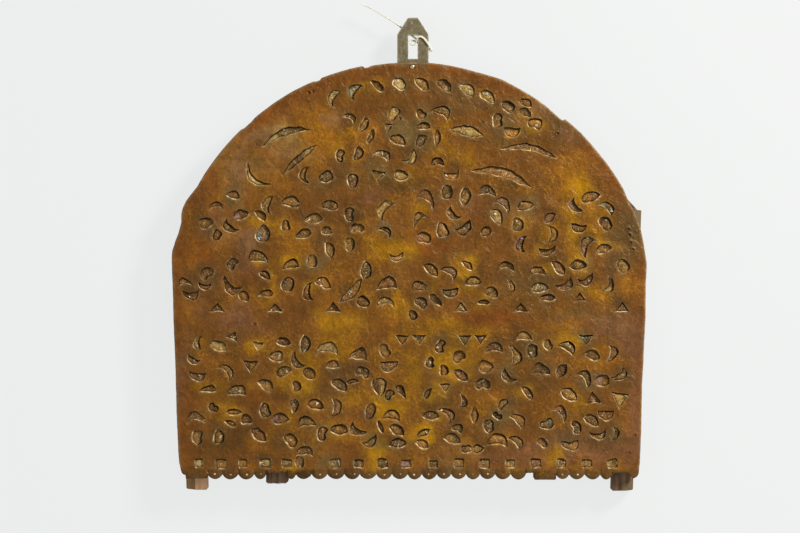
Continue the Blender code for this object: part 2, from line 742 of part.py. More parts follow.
def tail_route():
    """Return the tie's tail from its head, behind the plate, to its cut end."""
    back, edge = (0, 1, 0), (0.5, 0, 0.86)
    return (
        (21.4, 4.3, -17.3, back),
        (14.0, 4.8, -11.4, back),
        (4.0, 4.8, -3.8, back),
        (-6.0, 4.8, 3.8, (0.2, 1, 0.3)),
        (-14.8, 4.6, 10.4, (0.5, 0.6, 0.6)),
        (-23.0, 4.4, 16.3, edge),
        (-34.0, 4.0, 23.0, edge),
        (-45.5, 3.4, 30.0, edge),
        (-54.6, 2.8, 34.8, edge),
        (-62.8, 2.2, 38.0, edge),
    )


def smooth_route(route, steps):
    """Return points and flat-side directions on a smooth curve through a route."""
    knots = [Vector(stop[:3]) * MM for stop in route]
    sides = [Vector(stop[3]).normalized() for stop in route]
    points, faces = [], []
    last = len(knots) - 1
    for i in range(last):
        before, after = knots[max(i - 1, 0)], knots[min(i + 2, last)]
        near = knots[i] + (knots[i + 1] - before) / 6
        far = knots[i + 1] - (after - knots[i]) / 6
        curve = interpolate_bezier(knots[i], near, far, knots[i + 1], steps + 1)
        for k in range(steps):
            points.append(curve[k])
            faces.append(sides[i].lerp(sides[i + 1], k / steps))
    points.append(knots[-1])
    faces.append(sides[-1])
    return points, faces


def band(route, steps):
    """Return a bmesh band of the tie's section along a route."""
    points, faces = smooth_route(route, steps)
    bm = bmesh.new()
    rings = []
    for i, point in enumerate(points):
        ahead = points[min(i + 1, len(points) - 1)] - points[max(i - 1, 0)]
        across = ahead.cross(faces[i]).normalized() * TIE_WIDTH / 2
        out = across.cross(ahead).normalized() * TIE_THICKNESS / 2
        corners = (across + out, out - across, -across - out, across - out)
        rings.append([bm.verts.new(point + corner) for corner in corners])
    for upper, lower in zip(rings, rings[1:]):
        wall(bm, upper, lower)
    bm.faces.new(rings[0][::-1])
    bm.faces.new(rings[-1])
    bmesh.ops.recalc_face_normals(bm, faces=bm.faces)
    return bm


def guide_object(name, bm):
    """Return a hidden object that a Boolean reads."""
    mesh = bpy.data.meshes.new(name)
    bm.to_mesh(mesh)
    bm.free()
    item = bpy.data.objects.new(name, mesh)
    item.hide_render = True
    item.display_type = "WIRE"
    bpy.context.collection.objects.link(item)
    return item


def make_tie(material):
    """Make the nylon tie: its head, the loop round the plate's limb and the stiff tail."""
    bm = bmesh.new()
    bmesh.ops.create_cube(bm, size=1.0)
    bmesh.ops.scale(bm, vec=TIE_HEAD, verts=bm.verts)
    bmesh.ops.translate(bm, vec=Vector((21.4, 2.4, -16.9)) * MM, verts=bm.verts)
    tie = finish_object("cable_tie", bm, material)
    for name, route, steps in (("tie_loop", tie_route(), 3), ("tie_tail", tail_route(), 2)):
        union = tie.modifiers.new(name, "BOOLEAN")
        union.operation = "UNION"
        union.solver = "EXACT"
        union.object = guide_object(name, band(route, steps))
    return tie


def main():
    """Make every piece."""
    clear_scene()
    lacquer = make_material("gilt_lacquer", (0.19, 0.09, 0.03), 0.45)
    raw_wood = make_material("raw_wood", (0.42, 0.26, 0.17), 0.7)
    dark_wood = make_material("dark_wood", (0.10, 0.06, 0.04), 0.7)
    steel = make_material("dull_steel", (0.26, 0.23, 0.18), 0.5, 0.8)
    brass = make_material("worn_brass", (0.30, 0.20, 0.10), 0.4, 0.9)
    nylon = make_material("white_nylon", (0.82, 0.80, 0.74), 0.4)
    make_board(lacquer)
    make_outer_batten("batten_outer_left", -1, 257.1 * MM, 203 * MM, 513.5 * MM, raw_wood)
    make_outer_batten("batten_outer_right", 1, 258.0 * MM, 175.4 * MM, 514.6 * MM, dark_wood,
                      (153.5 * MM, 5.8 * MM))
    ragged = (504.4, 505.9, 504.9, 506.1, 505.3, 505.8, 504.0)
    make_inner_batten("batten_inner_left", -159.6 * MM, 80 * MM, ragged, dark_wood)
    square = (500.8, 501.4, 501.0)
    make_inner_batten("batten_inner_right", 164.2 * MM, 80 * MM, square, dark_wood)
    make_plate(steel)
    make_nail(brass)
    make_tie(nylon)


main()
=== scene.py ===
"""Arched door hanging: a gilt-lacquered board carved with inlay beds, on four battens.

Metres, +Z up, the carved face towards -Y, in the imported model's frame. The origin is
the middle of the slot's upper wall in the hanging plate.
"""

import logging
import math
import random
import re
from collections.abc import Callable, Sequence
from dataclasses import dataclass, field
from enum import Enum

import bmesh
import bpy
import numpy as np
from mathutils import Matrix, Quaternion, Vector
from mathutils.bvhtree import BVHTree
from mathutils.geometry import delaunay_2d_cdt, interpolate_bezier
from mathutils.kdtree import KDTree


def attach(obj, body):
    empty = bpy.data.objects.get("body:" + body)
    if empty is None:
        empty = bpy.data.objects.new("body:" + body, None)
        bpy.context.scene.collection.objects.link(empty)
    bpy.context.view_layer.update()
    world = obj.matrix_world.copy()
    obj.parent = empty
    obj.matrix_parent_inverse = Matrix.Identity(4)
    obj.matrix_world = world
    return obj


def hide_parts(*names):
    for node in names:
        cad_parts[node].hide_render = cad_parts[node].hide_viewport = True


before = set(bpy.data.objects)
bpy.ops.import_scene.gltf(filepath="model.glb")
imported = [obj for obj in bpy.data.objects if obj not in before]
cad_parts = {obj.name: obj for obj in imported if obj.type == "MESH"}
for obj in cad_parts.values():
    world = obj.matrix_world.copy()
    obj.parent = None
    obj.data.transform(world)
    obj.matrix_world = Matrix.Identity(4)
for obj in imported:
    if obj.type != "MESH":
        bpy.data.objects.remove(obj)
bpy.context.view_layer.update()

MM = 0.001
LOG = logging.getLogger("door_hanging")
Colour = Triple = tuple[float, float, float]
Ring = Sequence[Vector]
Row = Sequence[int]
Pairs = Sequence[tuple[float, float]]
Piece = bpy.types.Object
Values = float | np.ndarray
Material = bpy.types.Material
Socket = bpy.types.NodeSocket


def paint(*chip: float) -> Colour:
    """Return the linear light of a paint chip's red, green and blue display values, 0 to 255."""
    return tuple(v / 255 / 12.92 if v < 10.4 else ((v / 255 + 0.055) / 1.055) ** 2.4 for v in chip)


def smooth(low: float, high: float, value: Values) -> Values:
    """Return the share by which a number or an array has eased from 0 at low to 1 at high."""
    share = np.clip((value - low) / (high - low), 0.0, 1.0)
    return share * share * (3 - 2 * share)


def bell(value: Values, middle: Values, spread: float) -> Values:
    """Return a bell curve of a number or an array, 1 at its middle."""
    return np.exp(-(((value - middle) / spread) ** 2))


class Waver:
    """Seeded smooth noise on a plane, for the unevenness of hand work."""

    SIZE = 97

    def __init__(self, seed: int) -> None:
        """Draw the lattice from its own seed."""
        self.lattice = np.random.default_rng(seed).uniform(-1.0, 1.0, (self.SIZE, self.SIZE))

    def at(self, across: Values, down: Values, pitch: float, octaves: int = 1) -> Values:
        """Read the noise.

        Args:
            across: First coordinate, a number or an array.
            down: Second coordinate, of the same kind.
            pitch: Distance from one swell to the next.
            octaves: How many layers there are, each finer and half as strong as the last.

        Returns:
            Noise between about -1 and 1.
        """
        total, weight, sum_weight, grid = 0.0, 1.0, 0.0, self.lattice
        for layer in range(octaves):
            u = np.asarray(across) / pitch * 2**layer + 31.7 * layer
            v = np.asarray(down) / pitch * 2**layer + 12.3 * layer
            i, j = np.floor(u).astype(int), np.floor(v).astype(int)
            s, t = smooth(0.0, 1.0, u - i), smooth(0.0, 1.0, v - j)
            a, b = i % self.SIZE, j % self.SIZE
            c, d = (i + 1) % self.SIZE, (j + 1) % self.SIZE
            near = grid[a, b] * (1 - s) + grid[c, b] * s
            far = grid[a, d] * (1 - s) + grid[c, d] * s
            total = total + weight * (near * (1 - t) + far * t)
            sum_weight += weight
            weight *= 0.5
        return total / sum_weight


# ---- node trees and finishes


class NodeBench:
    """A node tree in the making."""

    def __init__(self, tree: bpy.types.NodeTree) -> None:
        """Keep the tree."""
        self.tree = tree

    def add(self, kind: str, sockets: dict | None = None, **settings: str) -> bpy.types.Node:
        """Add a node.

        Args:
            kind: The node's type name.
            sockets: What its inputs are fed, by name or number.
            settings: Values of the node's own properties.

        Returns:
            The node.
        """
        node = self.tree.nodes.new(kind)
        for key, value in settings.items():
            setattr(node, key, value)
        for key, value in (sockets or {}).items():
            self.feed(node.inputs[key], value)
        return node

    def feed(self, socket: Socket, value: "Feed | str | bool") -> None:
        """Set a socket to a value, or link it to another socket.

        Args:
            socket: The input socket.
            value: A wire, a socket, a number, a colour or a name.
        """
        value = value.end if isinstance(value, Wire) else value
        if isinstance(value, Socket):
            self.tree.links.new(value, socket)
        elif socket.type == "RGBA":
            socket.default_value = (*value, 1.0)
        else:
            socket.default_value = value


@dataclass(frozen=True)
class Wire:
    """A value on its way through a tree; sums on it add nodes."""

    bench: NodeBench
    end: Socket

    def work(self, operation: str, other: "Wire | float") -> "Wire":
        """Return the result of a sum with another wire or a number."""
        node = self.bench.add("ShaderNodeMath", {0: self, 1: other}, operation=operation)
        return Wire(self.bench, node.outputs["Value"])

    def __mul__(self, other: "Wire | float") -> "Wire":
        """Return the product."""
        return self.work("MULTIPLY", other)

    def __add__(self, other: "Wire | float") -> "Wire":
        """Return the sum."""
        return self.work("ADD", other)

    def span(self, low: float, high: float, start: float = 0.0, end: float = 1.0) -> "Wire":
        """Ease the value from one range onto another.

        Args:
            low: Where the first range starts.
            high: Where the first range ends.
            start: What low becomes.
            end: What high becomes.

        Returns:
            The eased value.
        """
        sockets = {"Value": self, "From Min": low, "From Max": high, "To Min": start, "To Max": end}
        node = self.bench.add("ShaderNodeMapRange", sockets, interpolation_type="SMOOTHSTEP")
        return Wire(self.bench, node.outputs["Result"])


Feed = Wire | Socket | float | Colour


class ShaderBench(NodeBench):
    """A material's node tree and the few joints that its finishes are built from."""

    def __init__(self, name: str) -> None:
        """Make the material with its Principled shader.

        Args:
            name: The material's name.
        """
        self.material = bpy.data.materials.new(name)
        self.material.use_nodes = True
        super().__init__(self.material.node_tree)
        self.shader = self.tree.nodes["Principled BSDF"]
        self.place = self.add("ShaderNodeTexCoord").outputs["Object"]

    def noise(self, scale: float, detail: float = 3.0, rough: float = 0.55, swirl: float = 0.0,
              stretch: Triple | None = None) -> Wire:
        """Add noise on the object's own coordinates.

        Args:
            scale: Swells per metre.
            detail: How many finer layers it has.
            rough: How strong the finer layers are.
            swirl: How much it is swirled.
            stretch: Scale of the three axes, where the pattern is drawn out.

        Returns:
            The noise.
        """
        place = self.place
        if stretch:
            place = self.add("ShaderNodeMapping", {"Vector": place, "Scale": stretch}).outputs["Vector"]
        sockets = {"Vector": place, "Scale": scale, "Detail": detail, "Roughness": rough, "Distortion": swirl}
        return Wire(self, self.add("ShaderNodeTexNoise", sockets).outputs["Fac"])

    def blend(self, share: Feed, under: Feed, over: Feed, mode: str = "MIX") -> Wire:
        """Return a colour under a share of another one."""
        sockets = {0: share, 6: under, 7: over}
        return Wire(self, self.add("ShaderNodeMix", sockets, data_type="RGBA", blend_type=mode).outputs[2])

    def note(self, name: str, output: str = "Fac") -> Wire:
        """Return what one of the mesh's own attributes says."""
        return Wire(self, self.add("ShaderNodeAttribute", attribute_name=name).outputs[output])

    def emboss(self, height: Wire, depth: float, strength: float) -> None:
        """Give the surface a fine grain of a real depth in metres, felt at a strength."""
        grain = self.add("ShaderNodeBump", {"Height": height, "Distance": depth, "Strength": strength})
        self.feed(self.shader.inputs["Normal"], grain.outputs["Normal"])

    def finish(self, colour: Feed, roughness: Feed, metallic: Feed = 0.0, gloss: float = 0.5,
               glint: Colour = (1.0, 1.0, 1.0)) -> Material:
        """Connect the shader.

        Args:
            colour: The base colour.
            roughness: The roughness.
            metallic: How metallic it is.
            gloss: The specular level.
            glint: The tint of its reflections.

        Returns:
            The material.
        """
        for name, value in (("Base Color", colour), ("Roughness", roughness), ("Metallic", metallic),
                            ("Specular IOR Level", gloss), ("Specular Tint", glint)):
            self.feed(self.shader.inputs[name], value)
        return self.material


@dataclass(frozen=True)
class LacquerFinish:
    """Red-brown lacquer under worn gilding, with dirt and painted shade in the beds, painted highlights on
    their lit lips, and bare wood behind.
    """

    name: str = "gilt_lacquer_finish"
    leaf: Colour = paint(180, 132, 20)
    # dark colour of dirt in the beds, which also serves as painted shade on their upper-right walls and rims
    grime: Colour = paint(26, 12, 5)
    wash: Colour = paint(96, 56, 36)
    # pale rubbed lacquer, which also serves as a painted highlight on the beds' lit lower-left lips
    worn: Colour = paint(240, 208, 152)
    bare: Colour = paint(112, 84, 56)
    bare_dark: Colour = paint(66, 46, 30)
    fleck: Colour = paint(216, 192, 144)
    depth_of_lacquer: Colour = (0.92, 0.81, 0.43)
    glint: Colour = (1.0, 0.8, 0.46)

    def material(self) -> Material:
        """Build the board's finish.

        Returns:
            The material, read from the board's attributes and object coordinates.
        """
        bench = ShaderBench(self.name)
        broad = bench.noise(28, 4, 0.6, 0.6)
        cloud = bench.noise(75, 5, 0.6, 0.9)
        knots = bench.noise(270, 3, 0.55, 0.4)
        brush = bench.noise(1.0, 2, 0.5, 0.8, stretch=(26, 26, 170))
        floor, tone = bench.note("floor"), bench.note("tone", "Color")
        colour = bench.blend(cloud.span(0.45, 0.7, 0.0, 0.4), tone, bench.blend(0.6, tone, self.wash))
        # gold leaf in clouds of specks, most of it in the gilt areas
        spots = cloud * 0.35 + broad * 0.15 + bench.noise(340, 3, 0.65, 0.8) * 0.5
        gilt = (spots + (bench.note("gilt") * 0.2 + bench.note("halo") * 0.06)).span(0.56, 0.74, 0.0, 0.68)
        colour = bench.blend(gilt, colour, self.leaf)
        # lighter and darker clouds, strongest on the beds' floors
        shade = broad.span(0.35, 0.68, 0.84, 1.14) * cloud.span(0.3, 0.7, 1.16, 0.84)
        shade = shade * knots.span(0.3, 0.7, 1.12, 0.88) * brush.span(0.32, 0.68, 0.95, 1.05)
        shade = shade * (cloud.span(0.34, 0.66, -0.5, 0.56) * floor + 1.0)
        depths = {i: shade * share for i, share in enumerate(self.depth_of_lacquer)}
        level = bench.add("ShaderNodeCombineColor", depths).outputs["Color"]
        colour = bench.blend(1.0, colour, level, "MULTIPLY")
        # flecks in the beds, dirt with painted shade, rubbed lips with painted highlights, and bare grained
        # wood in the chips and behind
        flecks = bench.note("fleck") * bench.noise(430, 3, 0.7, 0.7).span(0.54, 0.64, 0.0, 0.95)
        lines = bench.noise(1.0, 5, 0.6, 0.3, stretch=(150, 150, 7)).span(0.36, 0.62)
        wood = bench.blend(lines, self.bare, self.bare_dark)
        wood = bench.blend(broad.span(0.35, 0.7, 0.0, 0.45), wood, self.bare_dark)
        for share, over in ((flecks, self.fleck),
                            (bench.note("grime") * cloud.span(0.25, 0.6, 1.0, 0.85), self.grime),
                            (bench.note("lip") * knots.span(0.32, 0.56, 0.2, 1.0), self.worn),
                            (bench.note("bare"), wood)):
            colour = bench.blend(share, colour, over)
        lumps = knots * (floor * 0.5 + 0.16)
        height = cloud * 0.8 + bench.noise(820, 2, 0.6) * 0.05 + brush * 0.1
        bench.emboss(height + lumps, 0.003, 0.95)
        metal = gilt.work("MAXIMUM", flecks) * 0.3
        return bench.finish(colour, cloud.span(0.3, 0.75, 0.34, 0.5), metal, 0.34, self.glint)


@dataclass(frozen=True)
class NylonFinish:
    """Cream nylon, a little yellowed in clouds."""

    name: str = "cream_nylon"
    light: Colour = paint(236, 230, 214)
    dark: Colour = paint(206, 198, 178)
    roughness: float = 0.42
    pitch: float = 260.0

    def material(self) -> Material:
        """Build the material.

        Returns:
            A finish that wanders between the light and the dark shade.
        """
        bench = ShaderBench(self.name)
        cloud = bench.noise(self.pitch, 5, 0.62, 0.4)
        grain = bench.noise(self.pitch * 4, 3, 0.6)
        colour = bench.blend(cloud.span(0.35, 0.65), self.light, self.dark)
        colour = bench.blend(grain.span(0.55, 0.8, 0.0, 0.35), colour, self.dark)
        bench.emboss(cloud + grain * 0.3, 0.0001, 0.7)
        return bench.finish(colour, cloud.span(0.3, 0.7, self.roughness * 0.8, self.roughness * 1.25))


@dataclass(frozen=True)
class WornFinish:
    """Handled metal: dull on the flat, rubbed bright where the mesh notes an edge."""

    name: str
    light: Colour
    dark: Colour
    rubbed: Colour
    roughness: float = 0.5
    metallic: float = 0.35
    pitch: float = 160.0

    def material(self) -> Material:
        """Build the material.

        Returns:
            A clouded metal with fine scratches and rubbed edges.
        """
        bench = ShaderBench(self.name)
        cloud = bench.noise(self.pitch, 6, 0.65, 0.5)
        spots = bench.noise(self.pitch * 3.5, 3, 0.6)
        scratches = bench.noise(1.0, 2, 0.5, 1.2, stretch=(900, 900, 120))
        colour = bench.blend(cloud.span(0.34, 0.66), self.light, self.dark)
        colour = bench.blend(spots.span(0.6, 0.78, 0.0, 0.5), colour, self.dark)
        colour = bench.blend(scratches.span(0.66, 0.74, 0.0, 0.4), colour, self.rubbed)
        colour = bench.blend(bench.note("edge") * spots.span(0.3, 0.6, 0.35, 1.0), colour, self.rubbed)
        bench.emboss(cloud + scratches * -0.4, 0.0006, 0.7)
        rough = cloud.span(0.3, 0.7, self.roughness * 0.8, self.roughness * 1.2)
        return bench.finish(colour, rough, self.metallic, 0.45)


@dataclass(frozen=True)
class FlakeFinish:
    """Broken inlay: each bit keeps its own tone under a thin, clouded shine."""

    name: str = "inlay_shine"
    roughness: float = 0.5
    metallic: float = 0.05
    gloss: float = 0.35

    def material(self) -> Material:
        """Build the material.

        Returns:
            The bit's tone, clouded and dirtied.
        """
        bench = ShaderBench(self.name)
        cloud = bench.noise(520, 4, 0.6, 0.6)
        colour = bench.blend(cloud.span(0.42, 0.66, 0.0, 0.75), bench.note("tone", "Color"), Tone.DEEP.value)
        bench.emboss(cloud, 0.0006, 0.7)
        rough = cloud.span(0.3, 0.7, self.roughness * 0.7, self.roughness * 1.6)
        return bench.finish(colour, rough, self.metallic, self.gloss)


@dataclass(frozen=True)
class TimberFinish:
    """Sawn timber whose grain runs up the batten."""

    name: str
    light: Colour
    dark: Colour
    streak: Colour
    facet_painted_light: Colour

    def material(self) -> Material:
        """Build the material.

        Returns:
            Streaked wood, with the chamfer in its own colour as it looks under the light, a painted shade
            where it faces away.
        """
        bench = ShaderBench(self.name)
        rings = bench.noise(1.0, 6, 0.62, 0.5, stretch=(210, 210, 9))
        saw = bench.noise(1.0, 2, 0.5, stretch=(40, 40, 900))
        colour = bench.blend(rings.span(0.36, 0.64), self.light, self.dark)
        # the chamfer's own colour is painted light: a painted shade on the pale batten's chamfer, which faces
        # away from the light
        split = bench.blend(rings.span(0.4, 0.7, 0.0, 0.3), self.facet_painted_light, self.dark)
        colour = bench.blend(bench.note("facet_painted_light").span(0.25, 0.45), colour, split)
        colour = bench.blend(bench.noise(90, 4, 0.6).span(0.5, 0.74, 0.0, 0.6), colour, self.streak)
        colour = bench.blend(bench.note("raw"), colour, bench.blend(0.5, self.dark, self.streak))
        bench.emboss(rings + saw * 0.25, 0.0008, 0.8)
        return bench.finish(colour, rings.span(0.3, 0.7, 0.62, 0.85), 0.0, 0.3)


# ---- mesh building


def pairs_round(ring: Sequence) -> list[tuple]:
    """Return each item of a closed ring with the next one."""
    return list(zip(ring, [*ring[1:], ring[0]]))


def signed_area(points: Ring) -> float:
    """Return a polygon's area, positive when it runs anticlockwise."""
    return sum(a.x * b.y - b.x * a.y for a, b in pairs_round(points)) / 2


def inset(points: Ring, distance: float) -> list[Vector]:
    """Move an anticlockwise polygon inwards.

    Args:
        points: The polygon.
        distance: How far it moves.

    Returns:
        A polygon of as many points.
    """
    moved = []
    for i, point in enumerate(points):
        before = (point - points[i - 1]).normalized()
        after = (points[(i + 1) % len(points)] - point).normalized()
        normal = Vector((-before.y - after.y, before.x + after.x))
        stretch = min(2.0 / max(normal.length_squared, 0.4), 1.6) * normal.length
        moved.append(point + normal.normalized() * distance * stretch)
    return moved


def relax(ring: Ring, passes: int) -> list[Vector]:
    """Draw the points of a closed ring towards their neighbours.

    Args:
        ring: The ring.
        passes: How many times.

    Returns:
        The smoother ring.
    """
    for _ in range(passes):
        ring = [(ring[i - 1] + ring[(i + 1) % len(ring)]) * 0.25 + ring[i] * 0.5 for i in range(len(ring))]
    return list(ring)


def circle(centre: Vector, radius: float, sides: int) -> list[Vector]:
    """Return a regular polygon, anticlockwise."""
    turns = [math.tau * i / sides for i in range(sides)]
    return [centre + radius * Vector((math.cos(t), math.sin(t))) for t in turns]


def resample(points: Ring, pitch: float) -> list[Vector]:
    """Cut the sides of an open line into even steps.

    Args:
        points: The line.
        pitch: The longest step.

    Returns:
        The line with its own points kept.
    """
    fine = []
    for start, end in zip(points, points[1:]):
        count = max(1, math.ceil((end - start).length / pitch))
        fine += [start.lerp(end, k / count) for k in range(count)]
    return [*fine, points[-1]]


def eased(corners: Ring, reach: float, pull: float, pitch: float) -> list[Vector]:
    """Round a polygon's corners and cut its sides into short steps.

    Args:
        corners: The polygon.
        reach: How far from a corner its rounding starts.
        pull: How far the rounding's middle is drawn in, as a share of the reach.
        pitch: The longest step.

    Returns:
        The rounded polygon.
    """
    points = []
    for i, corner in enumerate(corners):
        to_last = (corners[i - 1] - corner).normalized() * reach
        to_next = (corners[(i + 1) % len(corners)] - corner).normalized() * reach
        points += [corner + to_last, corner + (to_last + to_next) * pull, corner + to_next]
    return resample([*points, points[0]], pitch)[:-1]


def tree_of(places: Ring) -> KDTree:
    """Sort places so that the nearest ones can be found.

    Args:
        places: The places.

    Returns:
        The sorted places, each under its number.
    """
    tree = KDTree(len(places))
    for i, place in enumerate(places):
        tree.insert((place.x, place.y, 0.0), i)
    tree.balance()
    return tree


class Shell:
    """A mesh in the making: points, faces and a row of values for each point."""

    def __init__(self, *notes: str) -> None:
        """Start an empty shell.

        Args:
            notes: The names of the values that each point carries besides its tone.
        """
        self.points: list[Triple] = []
        self.faces: list[tuple[int, ...]] = []
        self.notes = {name: [] for name in notes}
        self.tones: np.ndarray | None = None

    def put(self, x: float, y: float, z: float, **values: float) -> int:
        """Add a point.

        Args:
            x: Across.
            y: Depth.
            z: Up.
            values: The point's own values, 0 where none is given.

        Returns:
            The point's number.
        """
        self.points.append((x, y, z))
        for name, row in self.notes.items():
            row.append(values.get(name, 0.0))
        return len(self.points) - 1

    def pin(self, place: Vector, y: float = 0.0, **values: float) -> int:
        """Add a point at an (x, z) place and return its number."""
        return self.put(place.x, y, place.y, **values)

    def bands(self, rows: Sequence[Row]) -> None:
        """Join rows of points that run round, the uppermost first as seen from outside."""
        for upper, lower in zip(rows, rows[1:]):
            self.faces += [(a, b, d, c) for (a, b), (c, d) in zip(pairs_round(upper), pairs_round(lower))]

    def fill(self, ring: Row) -> None:
        """Close a ring with a fan round its middle.

        Args:
            ring: The ring's points.
        """
        middle = np.mean([self.points[i] for i in ring], axis=0)
        values = {name: float(np.mean([row[i] for i in ring])) for name, row in self.notes.items()}
        pole = self.put(*middle, **values)
        self.faces += [(i, j, pole) for i, j in pairs_round(ring)]

    def sheet(self, rings: Sequence[tuple[Ring, Row]], loose: Ring, clear: float,
              put: Callable[[Vector], int]) -> None:
        """Fill the first ring with triangles, round the other rings.

        Args:
            rings: The border and then the holes, each with its points in the shell.
            loose: Places for further points.
            clear: How far these keep from the rings.
            put: What adds a further point to the shell.
        """
        places, rows, edges, numbers = [], [], [], []
        for ring, row in rings:
            inner = list(range(len(places), len(places) + len(ring)))
            places += ring
            rows += row
            edges += pairs_round(inner)
            numbers.append(inner)
        taken = tree_of(places)
        places += [point for point in loose if taken.find((point.x, point.y, 0.0))[2] > clear]
        result = delaunay_2d_cdt(places, edges, numbers, 1, 1e-7, True)
        if len(result[0]) != len(places):
            LOG.warning("rims meet: %d points became %d", len(places), len(result[0]))
        made = {number: rows[sources[0]] for number, sources in enumerate(result[3])
                if sources and sources[0] < len(rows)}
        for triangle, sources in zip(result[2], result[5]):
            if not sources or any(source > 0 for source in sources):
                continue
            for number in triangle:
                if number not in made:
                    made[number] = put(result[0][number])
            self.faces.append(tuple(made[number] for number in triangle))

    def build(self, name: str, smooth_angle: float) -> Piece:
        """Make the object.

        Args:
            name: The piece's name.
            smooth_angle: The sharpest edge in degrees that is still shaded smooth.

        Returns:
            The object, with its faces outwards and its values as attributes.
        """
        mesh = bpy.data.meshes.new(name)
        mesh.from_pydata(self.points, [], self.faces)
        for key, row in self.notes.items():
            mesh.attributes.new(key, "FLOAT", "POINT").data.foreach_set("value", row)
        if self.tones is not None:
            note_tones(mesh, self.tones)
        shaped = bmesh.new()
        shaped.from_mesh(mesh)
        bmesh.ops.delete(shaped, geom=[vert for vert in shaped.verts if not vert.link_faces], context="VERTS")
        bmesh.ops.recalc_face_normals(shaped, faces=shaped.faces)
        open_edges = sum(1 for edge in shaped.edges if len(edge.link_faces) != 2)
        shaped.to_mesh(mesh)
        shaped.free()
        if open_edges:
            LOG.warning("%s: %d open edges", name, open_edges)
        return finished(name, mesh, smooth_angle)


def note_tones(mesh: bpy.types.Mesh, tones: np.ndarray) -> None:
    """Give each of a mesh's points its own tone."""
    shades = np.hstack([tones, np.ones((len(tones), 1))])
    mesh.attributes.new("tone", "FLOAT_COLOR", "POINT").data.foreach_set("color", shades.ravel())


def placed(name: str, data: bpy.types.ID) -> Piece:
    """Put a mesh, a lamp or a camera in the scene.

    Args:
        name: The object's name.
        data: What it shows.

    Returns:
        The object.
    """
    item = bpy.data.objects.new(name, data)
    bpy.context.collection.objects.link(item)
    return item


def finished(name: str, mesh: bpy.types.Mesh, smooth_angle: float) -> Piece:
    """Shade a mesh and put it in the scene.

    Args:
        name: The piece's name.
        mesh: Its mesh.
        smooth_angle: The sharpest edge in degrees that is still shaded smooth.

    Returns:
        The piece.
    """
    mesh.shade_smooth()
    mesh.set_sharp_from_angle(angle=math.radians(smooth_angle))
    return placed(name, mesh)


def hand_over(piece: Piece, slot: str, material: Material, *nodes: str) -> Piece:
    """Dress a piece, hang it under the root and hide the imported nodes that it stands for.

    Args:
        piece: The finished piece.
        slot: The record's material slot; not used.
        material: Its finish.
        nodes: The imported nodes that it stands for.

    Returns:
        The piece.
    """
    piece.data.materials.clear()
    piece.data.materials.append(material)
    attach(piece, "root")
    if nodes:
        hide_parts(*nodes)
    LOG.info("%s: %d faces", piece.name, len(piece.data.polygons))
    return piece


# ---- the carved motif


class Kind(Enum):
    """Shapes of inlay bed, each with its letter and its length and width in millimetres."""

    CRESCENT = ("C", 20.5, 14.0)
    HALF_MOON = ("H", 20.5, 13.0)
    LEAF = ("L", 21.0, 12.5)
    NEEDLE = ("N", 19.0, 8.5)
    OVAL = ("O", 17.0, 14.0)
    TRIANGLE = ("T", 18.0, 14.0)
    SQUARE = ("S", 10.5, 10.5)
    BOWED = ("B", 0.0, 0.0)

    def __init__(self, letter: str, length: float, width: float) -> None:
        """Keep the letter that the sprays use and the shape's size."""
        self.letter, self.length, self.width = letter, length, width

    @classmethod
    def read(cls, letter: str) -> "Kind":
        """Return the shape that a spray's letter stands for."""
        return next(kind for kind in cls if kind.letter == letter)


class Tone(Enum):
    """Shades of the lacquer and of what is left in the beds."""

    UMBER = paint(114, 74, 36)
    GOLD = paint(138, 97, 20)
    YELLOW = paint(170, 128, 12)
    OCHRE = paint(140, 92, 32)
    TAN = paint(150, 108, 62)
    RUST = paint(122, 69, 26)
    ROSE = paint(122, 84, 72)
    MAUVE = paint(130, 101, 88)
    RED = paint(119, 73, 35)
    DUSK = paint(94, 74, 54)
    GREY = paint(104, 92, 72)
    DARK = paint(78, 56, 28)
    FLOOR = paint(136, 104, 66)
    DEEP = paint(104, 78, 54)
    PLUM = paint(78, 50, 44)
    PALE = paint(186, 160, 112)
    WHITE = paint(222, 204, 170)
    SILVER = paint(120, 112, 92)
    LILAC = paint(150, 112, 150)
    BLUE = paint(30, 62, 118)
    SKY = paint(150, 196, 206)
    TEAL = paint(24, 92, 92)


@dataclass(frozen=True)
class Spray:
    """Petals about a centre: right of the axis and below the board's top, in mm.

    A petal reads like a clock face: the hour that it lies at, its kind, how far out it
    lies in mm, then "@" and the hour that its back or tip points to (outwards if left
    out), and "+" or "-" if it is a large or a small one.
    """

    right: float
    drop: float
    petals: str


def read_sprays(text: str) -> list[Spray]:
    """Return the sprays of a table that has a line for each, with its centre and its petals."""
    rows = [line.split(":") for line in text.strip().splitlines()]
    return [Spray(*map(float, centre.split()), petals) for centre, petals in rows]


